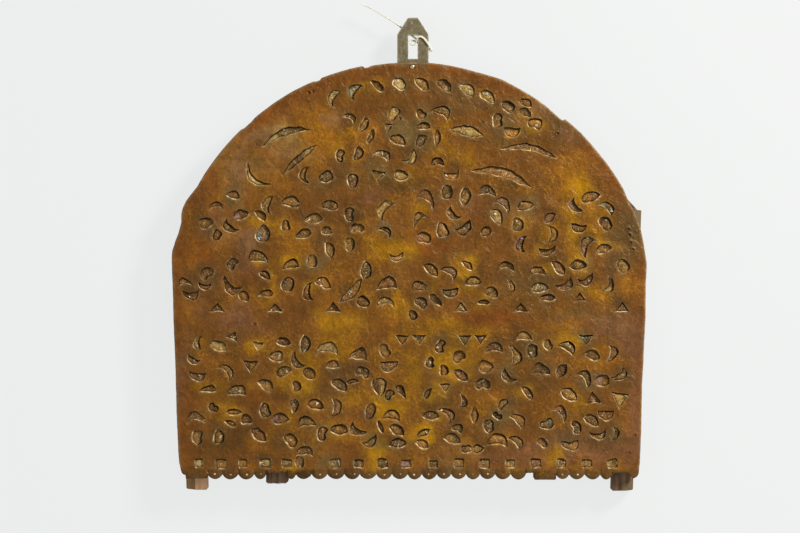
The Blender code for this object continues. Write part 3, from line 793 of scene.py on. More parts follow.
PETAL = re.compile(r"([\d.]+)([CHLNOT])([\d.]+)(?:@([\d.]+))?([+-]?)")
PETAL_SIZES = {"+": 1.2, "-": 0.8, "": 1.0}
SPRAYS = read_sprays("""
-37 90: 1.1O34 1.2T19@10.5- 3.3L23@4 5.5C21@1.5 9.5N10@1 10.4N25@1.2 10.2C42@1.2- 4C45@4.5
-68 128: 6O13 3.5T32@6 8.5O33 8.8C58@9 10.6O23@12 0.4L21@1- 3.2O59
25 76: 10.8O19- 1.2C22+ 8.7L8@3- 5N15@12 6.9L21@1.5 5.6H43@12- 5.2C63@6
127 66: 8.8O22@12 6.4H17@6 3.5O24 1.2L20@4.2-
-224 184: 11C15@12- 0.9L27@3.7- 8.2O21 6.7O23@1- 4.8C15@7.5 3L23@2.3
-172 184: 9L8@4.5- 6.5O20+ 0.3C15@9.5 2.1L33@3.3 3.8O25@12-
-112 203: 8.7L15@2.3 11.6L16@2.8 0.9L35@3.3 2.8O13- 4.9L26@5.3 6.3O34
-72 199: 12O18 3O10 6O18 2C49@10.5+ 3.1C44@1.5- 4C66@6- 5.3L52@12
-224 258: 9.5O19@2.2 1.3O21@1 4.5C14@7+ 8.3C23@6- 8.1C43@6 8.8C45@12- 4.4O33-
-161 248: 10.3H26@12+ 2.3H20@12 8L14@4- 4.6O22@1 6.7N32@2.5
-101 266: 8.3C22@9 9L3@3.5 3.8O50
-13 270: 9.8H16@12+ 7.4C22@12 2.8H26@12 4.1O32 5.1O36- 3.6N47@4.5
29 181: 8.4C19@10.5 11.3C20@1+ 1O31@12 2L43@12.3 3C24@7.5 5.1O21@12 6.7O32@4 3.8H42@5
109 191: 11.3H41@12 0.4C22@1.5 2L36@2.7 10.7L8@5.3 7.9O20- 3.2O19@6 4.5C36@9
178 216: 11.5L30@2- 11C14@3 7.8C15@6 1.8H31@6 4.6L37@3 6L30@4.7
220 193: 10.5C30@8 11.9L31@2.2+ 1.4C27@1.5 3O14@5 6.5C27@10+ 5.2L35@2.2
229 257: 8.7C16@5 8.6C43@5 4.3C14@4 2.1O31@5
152 264: 0.2C14@12 5.1L11@3 4.6N21@3 8.8C30@3- 10C41@12
79 264: 11.1L23@4.3- 9L2@2.7 4.1O23 9.8C34@1.5 9.5L56@4.3 8.3H32@6 5.2N26@3-
-245 362: 11.4C28@9- 9.8C16@7- 7.1H17@6 1.2L26@3.5 3.5C27@1.5 5.8N31@3
-202 349: 11.3T24@1- 2.2T22@6- 4.8T19@6 6.2H43@12 4.8L48@4.2
-143 356: 9.3O17 11.3L22@3- 6.8L17@2.2 3.3C8@7.5 1.2L25@12 4.2O28 5.6O32- 5.9L55@12-
-227 422: 10.5O12- 2.6N17@3 8.8C28@12 6.2O26 7.5O38@12 4.4N16@4- 3.4O33-
-169 428: 11.3O13@12 3L15@3 7.1L22@4 4.5O36
-109 428: 11.6L16@3.3 8.8H14@12 1.8C26@3 5.5O17@12 3.9L28@3 6.8H40@12 3.5C48@7.5
-77 364: 10.5C30@12+ 1.5H22@12 9L15@3- 6.6L24@4 3.7O22 5.1N21@3-
-29 350: 11.3O6 5.3H14@6
-32 410: 11.7O21+ 1.1O18- 1.8N22@4.7 8.2L17@12.5 4.6H16@12 6.2N26@5.3- 5.1L36@4.3 6.6C45@5 5.3L51@2.7
32 434: 7.2L30@3.5- 7.8N18@1.8 11L12@3 1.5C19 4.5L27@3.5 3.4O26- 1.6C44@3- 2.5N47@12
44 368: 11.5O30@12.5 9.9O21@12- 9O4@12- 1.5O22 3.7L19@4.2 6.1T22@6- 7.2N35@1-
106 356: 11.5H17@12 2.5C21@3+ 7.9O16@3 7O35@3 4.9C24@7.5 1.6H43@12 2.5O42@12
178 354: 10.8O20- 1.4H19@1 7.9H23@12 5.3L17@0.8 2.9L41@3.3
229 366: 1.3C23@3 3.6C25@4.5 7.9C21@1.5 5.7O16@3
217 410: 9.8L28@4 0.7T10@12 2.7T36@6+ 4.1H22@6 5.9L20@4 7.1O32@5.3 8.5C36@1.5 8.2O57 5.5C37@6 4.6C46@3-
121 434: 11.4L25@1.3- 10.2O19- 1.9H13@1.5 8.9O26@12 7.2H22@12+ 5.5C21@1.5 4O44- 0.9N43@4.7
76 463: 9O6- 3O6-
193 458: 6H1@6
139 61: 12L1@4-
205 281: 12T1@12-
-132 479: 12O1-
""")

# Long arched leaves: two tips, how far the middle is bowed off their chord, and the width
LONG_LEAVES = (
    ((-176, 100), (-117, 80), 9.0, 9.5), ((-194, 114), (-163, 145), -14.0, 8.5),
    ((-153, 134), (-110, 97), 2.0, 9), ((-85, 287), (-57, 258), -3.5, 12), ((49, 79), (90, 87), 2.0, 13),
    ((109, 103), (179, 115), 8.5, 9), ((74, 129), (148, 150), 9.0, 12))


def clock_angle(hour: float | str) -> float:
    """Return the angle of a clock hour, anticlockwise from the right."""
    return math.radians(90.0 - 30.0 * float(hour))


def clock_way(hour: float | str) -> tuple[float, float]:
    """Return the way of a clock hour, as across and up."""
    return math.cos(clock_angle(hour)), math.sin(clock_angle(hour))


@dataclass
class Bed:
    """A bed cut for an inlay: its kind, middle, turn and size, in metres."""

    kind: Kind
    middle: Vector
    turn: float
    length: float
    width: float
    spine: tuple[Vector, Vector, float] | None = None
    tone: Tone = Tone.FLOOR
    tint: Tone | None = None
    hour: float | None = None
    chips: float = 0.0
    bend: float = 0.0
    skew: float = 0.0
    notch: float = 0.0

    def ends(self) -> tuple[Vector, Vector]:
        """Return the two ends of the spine that a rounded bed is swept along."""
        spine = max(self.length - self.width, 0.0) / 2 * Vector((math.cos(self.turn), math.sin(self.turn)))
        return self.middle - spine, self.middle + spine

    def sides(self, share: float) -> tuple[Vector, Vector]:
        """Find the upper and the lower side of the rim at a share of half a turn.

        Args:
            share: 0 at the right tip, 1 at the left one.

        Returns:
            Two places on the board.
        """
        turn = math.pi * share
        half, rise = self.length / 2, self.width / 2
        lean, swell = math.cos(turn), math.sin(turn)
        if self.kind is Kind.BOWED:
            return self.bowed_sides(share, swell)
        x = half * lean
        fuller = 1 + self.skew * lean
        if self.kind is Kind.CRESCENT:
            upper, lower = 2 * rise * fuller * swell**0.72 - rise, 0.7 * rise * fuller * swell - rise
        elif self.kind is Kind.HALF_MOON:
            upper, lower = 2 * rise * fuller * swell**0.75 - rise, 0.2 * rise * fuller * swell - rise
        elif self.kind is Kind.TRIANGLE:
            upper, lower = 2 * rise * (1 - abs(lean)) - rise, -rise
        elif self.kind is Kind.SQUARE:
            x = math.copysign(half * abs(lean) ** 0.38, lean)
            upper, lower = rise * swell**0.38, -rise * swell**0.38
        else:
            pinch = 1.3 if self.kind in (Kind.LEAF, Kind.NEEDLE) else 0.9
            nick = self.notch * math.exp(-((lean / 0.4) ** 2))
            upper = rise * (fuller * swell**pinch + self.bend * swell)
            lower = rise * (self.bend * swell - (1 - nick) * fuller * swell**pinch)
        cos, sin = math.cos(self.turn), math.sin(self.turn)
        places = [Vector((x * cos - v * sin, x * sin + v * cos)) for v in (upper, lower)]
        return self.middle + places[0], self.middle + places[1]

    def bowed_sides(self, share: float, swell: float) -> tuple[Vector, Vector]:
        """Find the two sides of a long leaf whose spine is bowed off its chord.

        Args:
            share: 0 at one tip, 1 at the other.
            swell: How wide the leaf is there, from 0 to 1.

        Returns:
            Two places on the board.
        """
        start, end, bow = self.spine
        chord = start - end
        normal = Vector((chord.y, -chord.x)).normalized()
        place = end.lerp(start, 1 - share) + normal * bow * swell
        reach = normal * self.width / 2 * swell**0.8
        return place + reach, place - reach

    def stations(self) -> int:
        """Return how many steps each side of the rim is cut into, an even number."""
        return 2 * max(6, min(24, round((self.length + self.width) / 2 / (1.15 * MM) / 2)))


@dataclass(frozen=True)
class Motif:
    """The whole carved pattern, on the board's own measures."""

    axis_x: float = -4.8 * MM
    top_z: float = -35.5 * MM
    arch_radius: float = 294.0 * MM
    land: float = 1.0 * MM
    settle_passes: int = 30
    crowding: float = 32 * MM
    row_inset: float = 24.5 * MM
    row_first: float = -19.8
    row_step: float = 5.72
    row_petals: str = "CCNOLLLLO"
    triangle_size: tuple[float, float] = (18.0 * MM, 12.0 * MM)
    triangle_rows: tuple[tuple[float, float, tuple[float, ...]], ...] = (
        (292.0, 0.0, (-230, -161, -91, 62, 134, 256)), (332.0, math.pi, (-8.5, 12, 67, 86, 212)))
    square_drop: float = 480.0
    square_runs: tuple[tuple[float, float, tuple[float, ...]], ...] = (
        (-252.0, 26.3, (10.0, 14.5, 10.0, 13.0, 12.0)), (-89.0, 28.5, (14.0, 11.5, 12.5, 12.0)),
        (29.0, 30.7, (11.0, 12.0, 13.0, 11.0, 13.0, 10.5, 12.5, 12.0)))

    def place(self, right: float, drop: float) -> Vector:
        """Return the (x, z) of a place right of the board's axis and below its top, in metres."""
        return Vector((self.axis_x + right, self.top_z - drop))

    def at(self, right: float, drop: float) -> Vector:
        """Return the (x, z) of a place given in mm."""
        return self.place(right * MM, drop * MM)

    def on_arch(self, radius: float, turn: float) -> Vector:
        """Return the (x, z) of a place at a radius and a turn about the arch's centre."""
        return self.place(radius * math.sin(turn), self.arch_radius - radius * math.cos(turn))

    def spray_beds(self, spray: Spray, chance: random.Random) -> list[Bed]:
        """Cut the petals of one spray, each a little off its size.

        Args:
            spray: The spray.
            chance: The seeded unevenness of the carver's hand.

        Returns:
            The spray's beds.
        """
        beds = []
        for hour, letter, reach, way, size in PETAL.findall(spray.petals):
            kind = Kind.read(letter)
            turn = clock_angle(way or hour)
            if letter in "CHT":
                turn -= math.pi / 2
            turn += math.radians(chance.uniform(-8, 8))
            scale = PETAL_SIZES[size] * chance.uniform(0.95, 1.06) * MM
            middle = self.at(spray.right, spray.drop) + Vector(clock_way(hour)) * float(reach) * MM
            beds.append(Bed(kind, middle, turn, kind.length * scale, kind.width * scale))
        return beds

    @staticmethod
    def vary(beds: list[Bed]) -> list[Bed]:
        """Make each rounded bed lopsided, arched to the upper right as the gouge was turned.

        Args:
            beds: The rounded beds.

        Returns:
            The same beds.
        """
        chance = random.Random(1431)
        for bed in beds:
            arched = math.copysign(1.0, 0.5 * -math.sin(bed.turn) + 0.85 * math.cos(bed.turn))
            bed.skew = chance.uniform(-0.34, 0.34)
            if bed.kind in (Kind.LEAF, Kind.NEEDLE):
                bed.bend = arched * chance.uniform(0.15, 0.62)
            elif bed.kind is Kind.OVAL:
                bed.bend, bed.notch = arched * chance.uniform(0.0, 0.3), chance.uniform(-0.1, 0.6)
        return beds

    def row_beds(self) -> list[Bed]:
        """Cut the row along the arch and the two rows of triangles.

        Returns:
            The rows' beds.
        """
        beds = []
        for i, letter in enumerate(self.row_petals):
            kind, turn = Kind.read(letter), math.radians(self.row_first + i * self.row_step)
            middle = self.on_arch(self.arch_radius - self.row_inset, turn)
            lean = math.radians(60 if i < 2 else -40)
            beds.append(Bed(kind, middle, lean, kind.length * MM, kind.width * MM))
        for drop, turn, places in self.triangle_rows:
            beds += [Bed(Kind.TRIANGLE, self.at(right, drop), turn, *self.triangle_size) for right in places]
        return beds

    def square_beds(self) -> list[Bed]:
        """Cut the row of square beds above the beads.

        Returns:
            The row's beds.
        """
        chance = random.Random(17)
        beds = []
        for first, pitch, widths in self.square_runs:
            for i, width in enumerate(widths):
                middle = self.at(first + i * pitch, self.square_drop)
                height = (0.4 * width + Kind.SQUARE.width * chance.uniform(0.5, 0.65)) * MM
                beds.append(Bed(Kind.SQUARE, middle, math.radians(chance.uniform(-5, 5)), width * MM, height))
        return beds

    def long_beds(self) -> list[Bed]:
        """Cut the long arched leaves.

        Returns:
            Their beds.
        """
        beds = []
        for first, second, bow, width in LONG_LEAVES:
            start, end = self.at(*first), self.at(*second)
            spine = (start, end, bow * MM)
            beds.append(Bed(Kind.BOWED, (start + end) / 2, 0.0, (end - start).length, width * MM, spine))
        return beds

    def settle(self, beds: list[Bed]) -> list[Bed]:
        """Ease crowded beds apart until each has its land around it.

        Args:
            beds: The rounded beds.

        Returns:
            The same beds, moved.
        """
        for _ in range(self.settle_passes):
            for i, one in enumerate(beds):
                for other in beds[i + 1:]:
                    if (one.middle - other.middle).length > self.crowding:
                        continue
                    gap, way = spine_gap(one, other)
                    if gap < self.land:
                        push = way * (self.land - gap) / 2
                        one.middle = one.middle - push
                        other.middle = other.middle + push
        return beds

    def carve(self) -> list[Bed]:
        """Cut every bed.

        Returns:
            All the beds, settled.
        """
        chance = random.Random(1907)
        beds = self.row_beds()
        for spray in SPRAYS:
            beds += self.spray_beds(spray, chance)
        return self.vary(self.settle(beds)) + self.square_beds() + self.long_beds()


def spine_gap(one: Bed, other: Bed) -> tuple[float, Vector]:
    """Measure the land between two rounded beds.

    Args:
        one: A bed.
        other: Another bed.

    Returns:
        The gap and the way from the one to the other.
    """
    best = None
    for a, b, flip in ((one, other, 1), (other, one, -1)):
        start, end = a.ends()
        along = end - start
        size = max(along.length_squared, 1e-12)
        for point in b.ends():
            share = min(max((point - start).dot(along) / size, 0.0), 1.0)
            away = (point - (start + share * along)) * flip
            if best is None or away.length < best.length:
                best = away
    return best.length - (one.width + other.width) / 2, best.normalized()


# ---- the carved board


@dataclass(frozen=True)
class Patch:
    """A soft patch of a tone: right of the axis and below the top, in mm."""

    tone: Tone
    right: float
    drop: float
    half_width: float
    half_height: float
    strength: float = 0.85


@dataclass(frozen=True)
class Relic:
    """What is left in the bed nearest a place, in all of it or towards one clock hour."""

    tone: Tone
    right: float
    drop: float
    chips: float = 0.0
    hour: float | None = None


@dataclass(frozen=True)
class Dent:
    """A small mark in the face: right, drop, radius and height in mm, and its raised ring."""

    right: float
    drop: float
    radius: float
    height: float
    ring: float = 0.0

    def reach(self, right: np.ndarray, drop: np.ndarray) -> np.ndarray:
        """Return how far places are from the dent, as a share of its radius."""
        return np.hypot(right - self.right, drop - self.drop) / self.radius


def read_table(kind: type, text: str) -> list[Patch | Relic]:
    """Return what a table's rows stand for, each a tone's name and then numbers, parted by commas."""
    rows = [row.split() for row in text.split(",")]
    return [kind(Tone[tone], *map(float, numbers)) for tone, *numbers in rows]


# The rim, the upper field, the right-hand gilt, the middle, the band, the lower field, evening out
PATCHES = read_table(Patch, """
TAN -225 120 34 30, RUST -262 228 16 16, RED -272 252 14 26, ROSE -226 198 20 18, ROSE -198 210 13 13,
OCHRE -262 302 16 18, ROSE -272 375 9 40, RED -262 470 18 22, UMBER -226 415 44 30,
DUSK 268 200 15 44 .95, OCHRE 266 268 14 18, ROSE 270 330 16 26, ROSE 270 420 12 66, DUSK 186 70 22 30,
ROSE 190 84 10 10,
TAN -178 130 22 18 1, OCHRE -112 96 20 34 1, GOLD -70 88 8 10, DUSK -60 128 26 22, ROSE -44 163 16 8,
GREY -4 80 16 18, DARK -70 195 13 28 .8, GOLD 52 110 40 13 .7, DUSK 66 46 30 16 .6, OCHRE 196 130 20 26 1,
RUST 66 185 22 18 .4, TAN -154 84 24 22 .9, OCHRE -124 58 22 12 .6, OCHRE -158 112 20 14 .5,
DUSK -10 146 26 12 .7, DUSK 134 62 28 26 .6,
YELLOW 208 152 14 14 .9, YELLOW 218 178 14 12 .25, YELLOW 200 200 11 18 .9, GOLD 222 208 14 14 .9,
YELLOW 202 238 12 15 .8, UMBER 232 240 12 16 .5, GOLD 212 276 18 9 .8,
GOLD -20 220 32 18 1, YELLOW -4 226 14 9 .7, RUST 34 224 22 9 .7, OCHRE -130 215 24 30 .6,
GOLD -162 262 9 24 .8, RUST -186 256 12 12 .6, DUSK 146 262 34 28 .6, DARK 178 250 14 24 .5,
GOLD -12 290 17 13 .9, ROSE -214 305 22 12 .8, UMBER -150 300 20 12 .8, OCHRE -80 297 20 6 .6,
DUSK 62 240 26 14 .6, DARK 168 210 16 16 .6, DUSK -118 240 26 10 .5,
YELLOW -84 312 28 15 .6, RUST 96 308 46 11 1, OCHRE 186 318 24 16 .6, ROSE 248 312 30 20 .9,
GOLD 36 318 26 12 .7, OCHRE -30 312 26 12 .5,
GOLD 58 348 32 18 1, GOLD 0 375 16 26 .9, DUSK 26 372 20 26 .4, GOLD -68 398 14 12 .9,
YELLOW -28 410 17 16 .9, YELLOW 8 446 18 12 .35, DUSK 34 404 16 12 .5, YELLOW -38 466 16 20 .9,
DARK 142 340 20 14 .6, ROSE 212 376 16 10 .7, GOLD 204 410 18 16 .6, OCHRE 98 400 20 12 .6,
RUST -180 404 22 10 .5, GOLD -214 394 26 12 .4, DUSK -118 395 22 16 .6, DARK -196 446 34 16 .5,
DUSK 64 366 26 14 .4, DUSK 134 390 22 14 .5, GOLD -84 344 16 18 .8, GOLD -140 352 16 12 .5,
GOLD -92 440 34 14 .5, DUSK 228 452 26 16 .8, ROSE 150 470 100 14 .7, UMBER -200 474 50 12 .7,
TAN 60 466 34 12 .5, ROSE 206 462 64 18 .8, DARK -238 458 30 20 .6, GREY 4 2 19 4 .9,
OCHRE -262 250 12 40 .5, TAN -226 206 17 15 .6, PALE -152 84 18 16 .3, OCHRE -154 146 22 12 .5,
OCHRE -190 150 16 30 .4, OCHRE -96 52 26 12 .6, DARK -24 148 28 13 .6, DUSK 116 82 30 14 .8,
DARK 112 52 26 12 .35, UMBER 98 114 16 12 .6, PLUM 205 176 12 10 .5, DARK 172 236 15 18 .6,
DUSK 140 176 26 12 .5, DARK 72 252 26 20 .5, GOLD 24 270 12 12 .5, DUSK 206 302 42 10 .6,
DUSK 170 332 14 14 .6, DARK 140 376 26 24 .4, DARK -14 364 12 12 .4, DARK 28 404 16 24 .45,
DARK 22 458 18 10 .5, DARK -118 395 18 14 .4, DARK -154 364 14 12 .35, PLUM -226 426 18 14 .35,
RUST -264 420 12 50 .4, DARK -190 457 20 12 .35, DARK 205 457 20 12 .35, MAUVE -205 132 14 28 .8,
MAUVE -180 88 20 14 .8, MAUVE -138 109 26 11 .8, MAUVE -91 62 16 12 .6, MAUVE 160 58 16 10 .6,
ROSE 64 168 26 13 .6, ROSE 138 182 24 18 .6, RUST -238 138 12 16 .7, RUST -172 60 18 12 .5,
MAUVE -196 222 16 16 .6, ROSE -196 246 16 14 .6, RUST -246 240 12 30 .5, ROSE -256 296 14 16 .7,
ROSE -206 300 22 14 .6, ROSE -190 318 30 10 .5, DUSK 252 214 16 56 .75, DARK 124 84 40 16 .4,
OCHRE -262 290 12 30 .4, ROSE 242 318 26 12 .7, PALE -154 84 16 12 .25, DARK -12 147 18 11 .5,
WHITE -154 86 12 10 .2, GREY 208 332 12 9 .6, DUSK 250 318 20 20 .4, DARK -118 240 20 12 .35,
GOLD 61 332 18 12 .5, DARK -220 376 50 14 .2
""")
RELICS = read_table(Relic, """
WHITE -15.6 30 .8, PALE -19 61 .6, WHITE -26 75 .4 10.5, PALE 16 24 .3 9, PALE 41 28 .5 5, PALE 66 40 .7,
PALE 92 46 .7, PALE -91 37 .6, PALE -67 32 .5 2, PALE 68 83 .5, TAN 143 106 .8, TAN 109 138 .5,
WHITE -148 86 .2 8, WHITE -186 138 .1 8, PALE -131 115 .3 1.5, PALE -30 174 .5, PALE 104 185 .6,
SILVER 157 274 .4, PALE -229 342 .7, PALE -210 326 .4 4, PALE -181 340 .5, PALE -98 342 .8,
TAN -92 364 .9, PALE -36 390 .5 3, PALE 253 404 .4, WHITE -252 480 .5, WHITE -172 480 .7 1.5,
TAN -225 480 .9, DEEP -199 480 .2 12, SILVER -148 480 .6, PALE -132 479 .4 3, SILVER -89 480 .9,
TEAL -63 480 .5 9, LILAC -5 480 .4 9, LILAC -84 112 .3 9, LILAC -202 184 0 9, LILAC 18 211 0 9,
LILAC -154 427 0 9, LILAC -35 437 .2 9, LILAC 232 382 0 9, LILAC 198 172 .2 9, LILAC 212 220 0 8,
LILAC 134 216 .3 9, SKY -176 203 .2 9, SKY -67 30 .2 9, BLUE -142 412, TEAL -128 336 .2 7,
SKY 163 433 .2 12, SKY 211 332 .1 9, SKY 238 173 .3 9, TEAL -126 205 .2 8, SILVER -206 392 .5 6,
PALE -60 250 .4 9, TAN -75 272 .6, PALE -30 283 .5, PALE 62 280 .5, TAN 12 262 .5, TAN 126 262 .4,
TAN 150 248 .4, DEEP 29 480 .5 12, TAN 60 480 .7 9, TAN 90 480 .4 3, PALE 121 480 .8 3, PALE 182 480 .6 6,
PALE 244 480 .5 9, DEEP -32 480 .5 3, PLUM 202 198, PLUM 204 244, PLUM 213 259, PLUM 233 194,
PLUM 186 265, PLUM 217 161 0 3, DEEP -139 402, PALE 228 280 .4 6, PALE 17 115 .6, WHITE -38 120 .5 8,
PALE 2 132 .5, PLUM 176 360, PLUM 238 346, PLUM 120 420 0 9
""")
DENTS = [Dent(*row) for row in (
    (-120.5, 35, 1.9, -1.3, 0.4), (-115.6, 33.4, 1.8, -1.3, 0.3), (178, 84, 1.6, -0.9, 0.4),
    (88, 70, 1.4, -0.9, 0.2), (264, 467, 1.4, -0.9, 0.3), (271, 446, 1.3, -0.8, 0.3),
    (-186, 313, 2.4, -0.7, 0.5), (107, 62, 1.9, 0.7),
    (35, 118, 2.6, -1.3, 0.5), (263, 199, 1.6, -0.8, 0.9), (268, 196, 1.4, 0.7), (272, 201, 1.6, 0.8),
    (264, 206, 2.0, -0.9, 1.0), (270, 209, 1.7, 0.8), (266, 215, 1.5, -0.8, 0.9), (268, 223, 1.6, -0.7, 0.9),
    (263, 225, 1.3, 0.7), (-222, 471, 1.5, 0.5), (-196, 470, 1.2, 0.4), (30, 60, 1.5, -0.6, 0.2),
    (-11, 66, 1.6, -0.9, 0.3))]


def stain(base: np.ndarray, tone: Tone, weight: np.ndarray, light: float = 1.0) -> None:
    """Draw colours, one row for each place, towards a tone by each place's weight."""
    base += (np.array(tone.value) * light - base) * weight[:, None]


@dataclass
class Board:
    """The carved board: its outline, beaded edge, relief and inlay beds."""

    motif: Motif = field(default_factory=Motif)
    front_y: float = -15.45 * MM
    back_y: float = -1.55 * MM
    edge_pitch: float = 2.0 * MM
    foot_zone: float = 486.0 * MM
    edge_steps: tuple[tuple[float, float, float, float], ...] = (
        (1.25, 0.14, 0.3, 0.5), (0.4, 0.2, 0.05, 0.3), (0.08, 0.16, 0.0, 0.15), (0.0, 0.05, 0.0, 0.05))
    edge_insets: tuple[tuple[float, int], ...] = ((0.4, 0), (1.1, 1), (2.1, 4))
    field_bands: tuple[tuple[float, float, float], ...] = ((3.4, -2, 474), (2.3, 470, 486), (1.7, 486, 501))
    field_clear: float = 0.85 * MM
    proud: float = 1.8
    bore: float = 1.7 * MM
    bore_z: float = -39.6 * MM
    ridge: float = 472.6
    groove: float = 486.9
    dome: float = 490.6
    dome_reach: float = 9.6
    dome_sag: float = 1.9
    bead_cusp: float = 493.0
    bead_depth: float = 6.6
    beaded: tuple[float, float] = (-242.2, 244.2)
    block: tuple[float, float] = (149.4, 175.8)
    rim_knots: Pairs = (
        (-60, -0.3), (-56, 0.2), (-50, 0.4), (-45, 0.8), (-43.2, 0.8), (-42.6, -0.5), (-40.2, -0.4),
        (-39.2, 0.6), (-34, 1.3), (-28, 2.0), (-22.8, 1.9), (-22.4, 0.5), (-21.4, 0.5), (-20.8, 2.3),
        (-12, 2.5), (-10.9, 2.4), (-10.5, -0.2), (-9.5, -0.2), (-9.0, 1.1), (-4, 1.3), (0, 1.6), (6, 2.0),
        (12, 1.5), (16, 1.1), (22, 2.6), (26, 1.2), (30, 0.4), (34, -0.8), (37.5, -2.6), (39.1, -2.8),
        (39.5, 0.5), (44, 0.8), (50, 0.2), (61, 0.5))
    left_side: Pairs = (
        (262.4, 157.4), (268, 164.9), (272, 173.4), (273.7, 180.5), (273.8, 190.8), (276.8, 202.6),
        (281, 213.5), (284.6, 225), (285.2, 233), (285, 245), (283.9, 274.8), (283, 310.8), (280.9, 358.8),
        (279.5, 418.8), (277.3, 466.8), (276.2, 478.8), (274.1, 488.4), (273, 491.4), (271.4, 493.2),
        (268.7, 494))
    right_side: Pairs = (
        (263.5, 165.7), (267.5, 172.4), (270.5, 178.4), (273.2, 185), (275.5, 191.8), (277.9, 198.4),
        (281.3, 214.8), (283.3, 226.8), (285.1, 238.8), (284.9, 250.8), (284, 264), (283.8, 304),
        (282.1, 334.8), (281.2, 358.8), (279.7, 382.8), (278.5, 442.8), (276.9, 478.8), (275.7, 490.8),
        (275.2, 493.2), (273.7, 495.6), (272.1, 496.8), (269.8, 498))
    left_corner: Pairs = ((-268.2, 498.2), (-243, 498.2))
    right_corner: Pairs = ((246.5, 491.4), (262, 491.4), (265, 495), (268.9, 498.2))
    bead_runs: tuple[tuple[float, tuple[float, ...]], ...] = (
        (-242.2, (17.8, 19.0, 19.2, 14.6)), (-147.6, (11.5, 18.9, 18.9, 20.4, 18.4, 20.0, 18.7, 18.9)),
        (-1.9, (17.1, 18.0, 17.2, 17.8, 16.8, 18.2, 18.7, 18.3)), (176.0, (16.2, 18.5, 18.9, 14.6)))
    bead_gaps: tuple[Pairs, ...] = (
        ((-171.3, 490.5), (-168, 492.4), (-163, 490.2), (-158, 492.0), (-153, 490.0), (-150, 492.6),
         (-147.9, 490.5)), (), ((140.5, 491.8), (149.3, 491.8), (149.8, 498.2), (175.5, 499.3)), ())
    beds: list[Bed] = field(default_factory=list)

    def arch(self) -> list[Vector]:
        """Draw the arch from its left end to its right end.

        Returns:
            The arch with its chips and its slight unevenness.
        """
        waver = Waver(11)
        knots, offsets = zip(*self.rim_knots)
        count = round(math.radians(knots[-1] - knots[0]) * self.motif.arch_radius / self.edge_pitch)
        points = []
        for angle in np.linspace(knots[0], knots[-1], count + 1):
            wear = 0.3 * abs(float(waver.at(angle, 3.0, 2.4, 3)))
            radius = self.motif.arch_radius + (float(np.interp(angle, knots, offsets)) - wear) * MM
            points.append(self.motif.on_arch(radius, math.radians(angle)))
        return points

    def line(self, knots: Sequence[tuple[float, float]], pitch: float, hand: int = 1) -> list[Vector]:
        """Return an even line through knots given in mm, on one hand of the axis."""
        return resample([self.motif.at(hand * right, drop) for right, drop in knots], pitch)

    def side(self, hand: int) -> list[Vector]:
        """Draw one side from the shoulder down.

        Args:
            hand: -1 for the left side, 1 for the right one.

        Returns:
            The side, worn back a little here and there.
        """
        waver = Waver(20 + hand)
        points = self.line(self.left_side if hand < 0 else self.right_side, self.edge_pitch, hand)
        wear = [abs(float(waver.at(p.y, 1.0, 9 * MM, 3))) for p in points]
        return [Vector((p.x - hand * 0.3 * MM * worn, p.y)) for p, worn in zip(points, wear)]

    def foot_edge(self) -> list[Vector]:
        """Draw the beaded lower edge from left to right.

        Returns:
            The edge, each bead a little different from the next.
        """
        chance = random.Random(77)
        points = []
        for (left, widths), gap in zip(self.bead_runs, self.bead_gaps):
            for width in widths:
                depth, lean = self.bead_depth - chance.uniform(0.0, 0.7), chance.uniform(-0.12, 0.12)
                sides = max(6, round(width / 1.5))
                for k in range(sides):
                    share = k / sides
                    round_share = share + lean * share * (1 - share)
                    drop = self.bead_cusp + depth * math.sin(math.pi * round_share) ** 0.66
                    points.append(self.motif.at(left + share * width, drop))
                left += width
            if gap:
                rough = self.line(gap, 1.6 * MM)
                points += [Vector((p.x, p.y + chance.uniform(0.0, 0.5) * MM)) for p in rough]
        return points

    def outline(self) -> list[Vector]:
        """Draw the whole outline, anticlockwise.

        Returns:
            The outline's points.
        """
        left_foot = self.line(self.left_corner, self.edge_pitch)
        lower = left_foot + self.foot_edge() + self.line(self.right_corner, self.edge_pitch)
        points = self.arch() + self.side(1) + lower[::-1] + self.side(-1)[::-1]
        return points if signed_area(points) > 0 else points[::-1]

    def heights(self, right: np.ndarray, drop: np.ndarray) -> np.ndarray:
        """Work out how far the plain face stands proud.

        Args:
            right: Places right of the axis, in mm.
            drop: Places below the top, in mm.

        Returns:
            Heights in mm.
        """
        waver = Waver(5)
        rise = 0.4 * waver.at(right, drop, 34.0, 2) + 0.62 * waver.at(right, drop, 12.0, 2)
        streak = waver.at(right, drop * 7, 42.0, 2)
        rise += 0.16 * streak * bell(drop, 312, 16)
        ridge = self.ridge + 1.2 * waver.at(right, 0.0, 60.0)
        rise += (0.32 + 0.14 * waver.at(right, 2.0, 22.0)) * bell(drop, ridge, 0.9)
        rise -= 0.25 * bell(drop - ridge, 2.2, 1.1)
        rise += self.bead_heights(right, drop, waver)
        for dent in DENTS:
            reach = dent.reach(right, drop)
            rise += dent.height * np.exp(-(reach**3)) + dent.ring * bell(reach, 1.45, 0.4)
        return rise

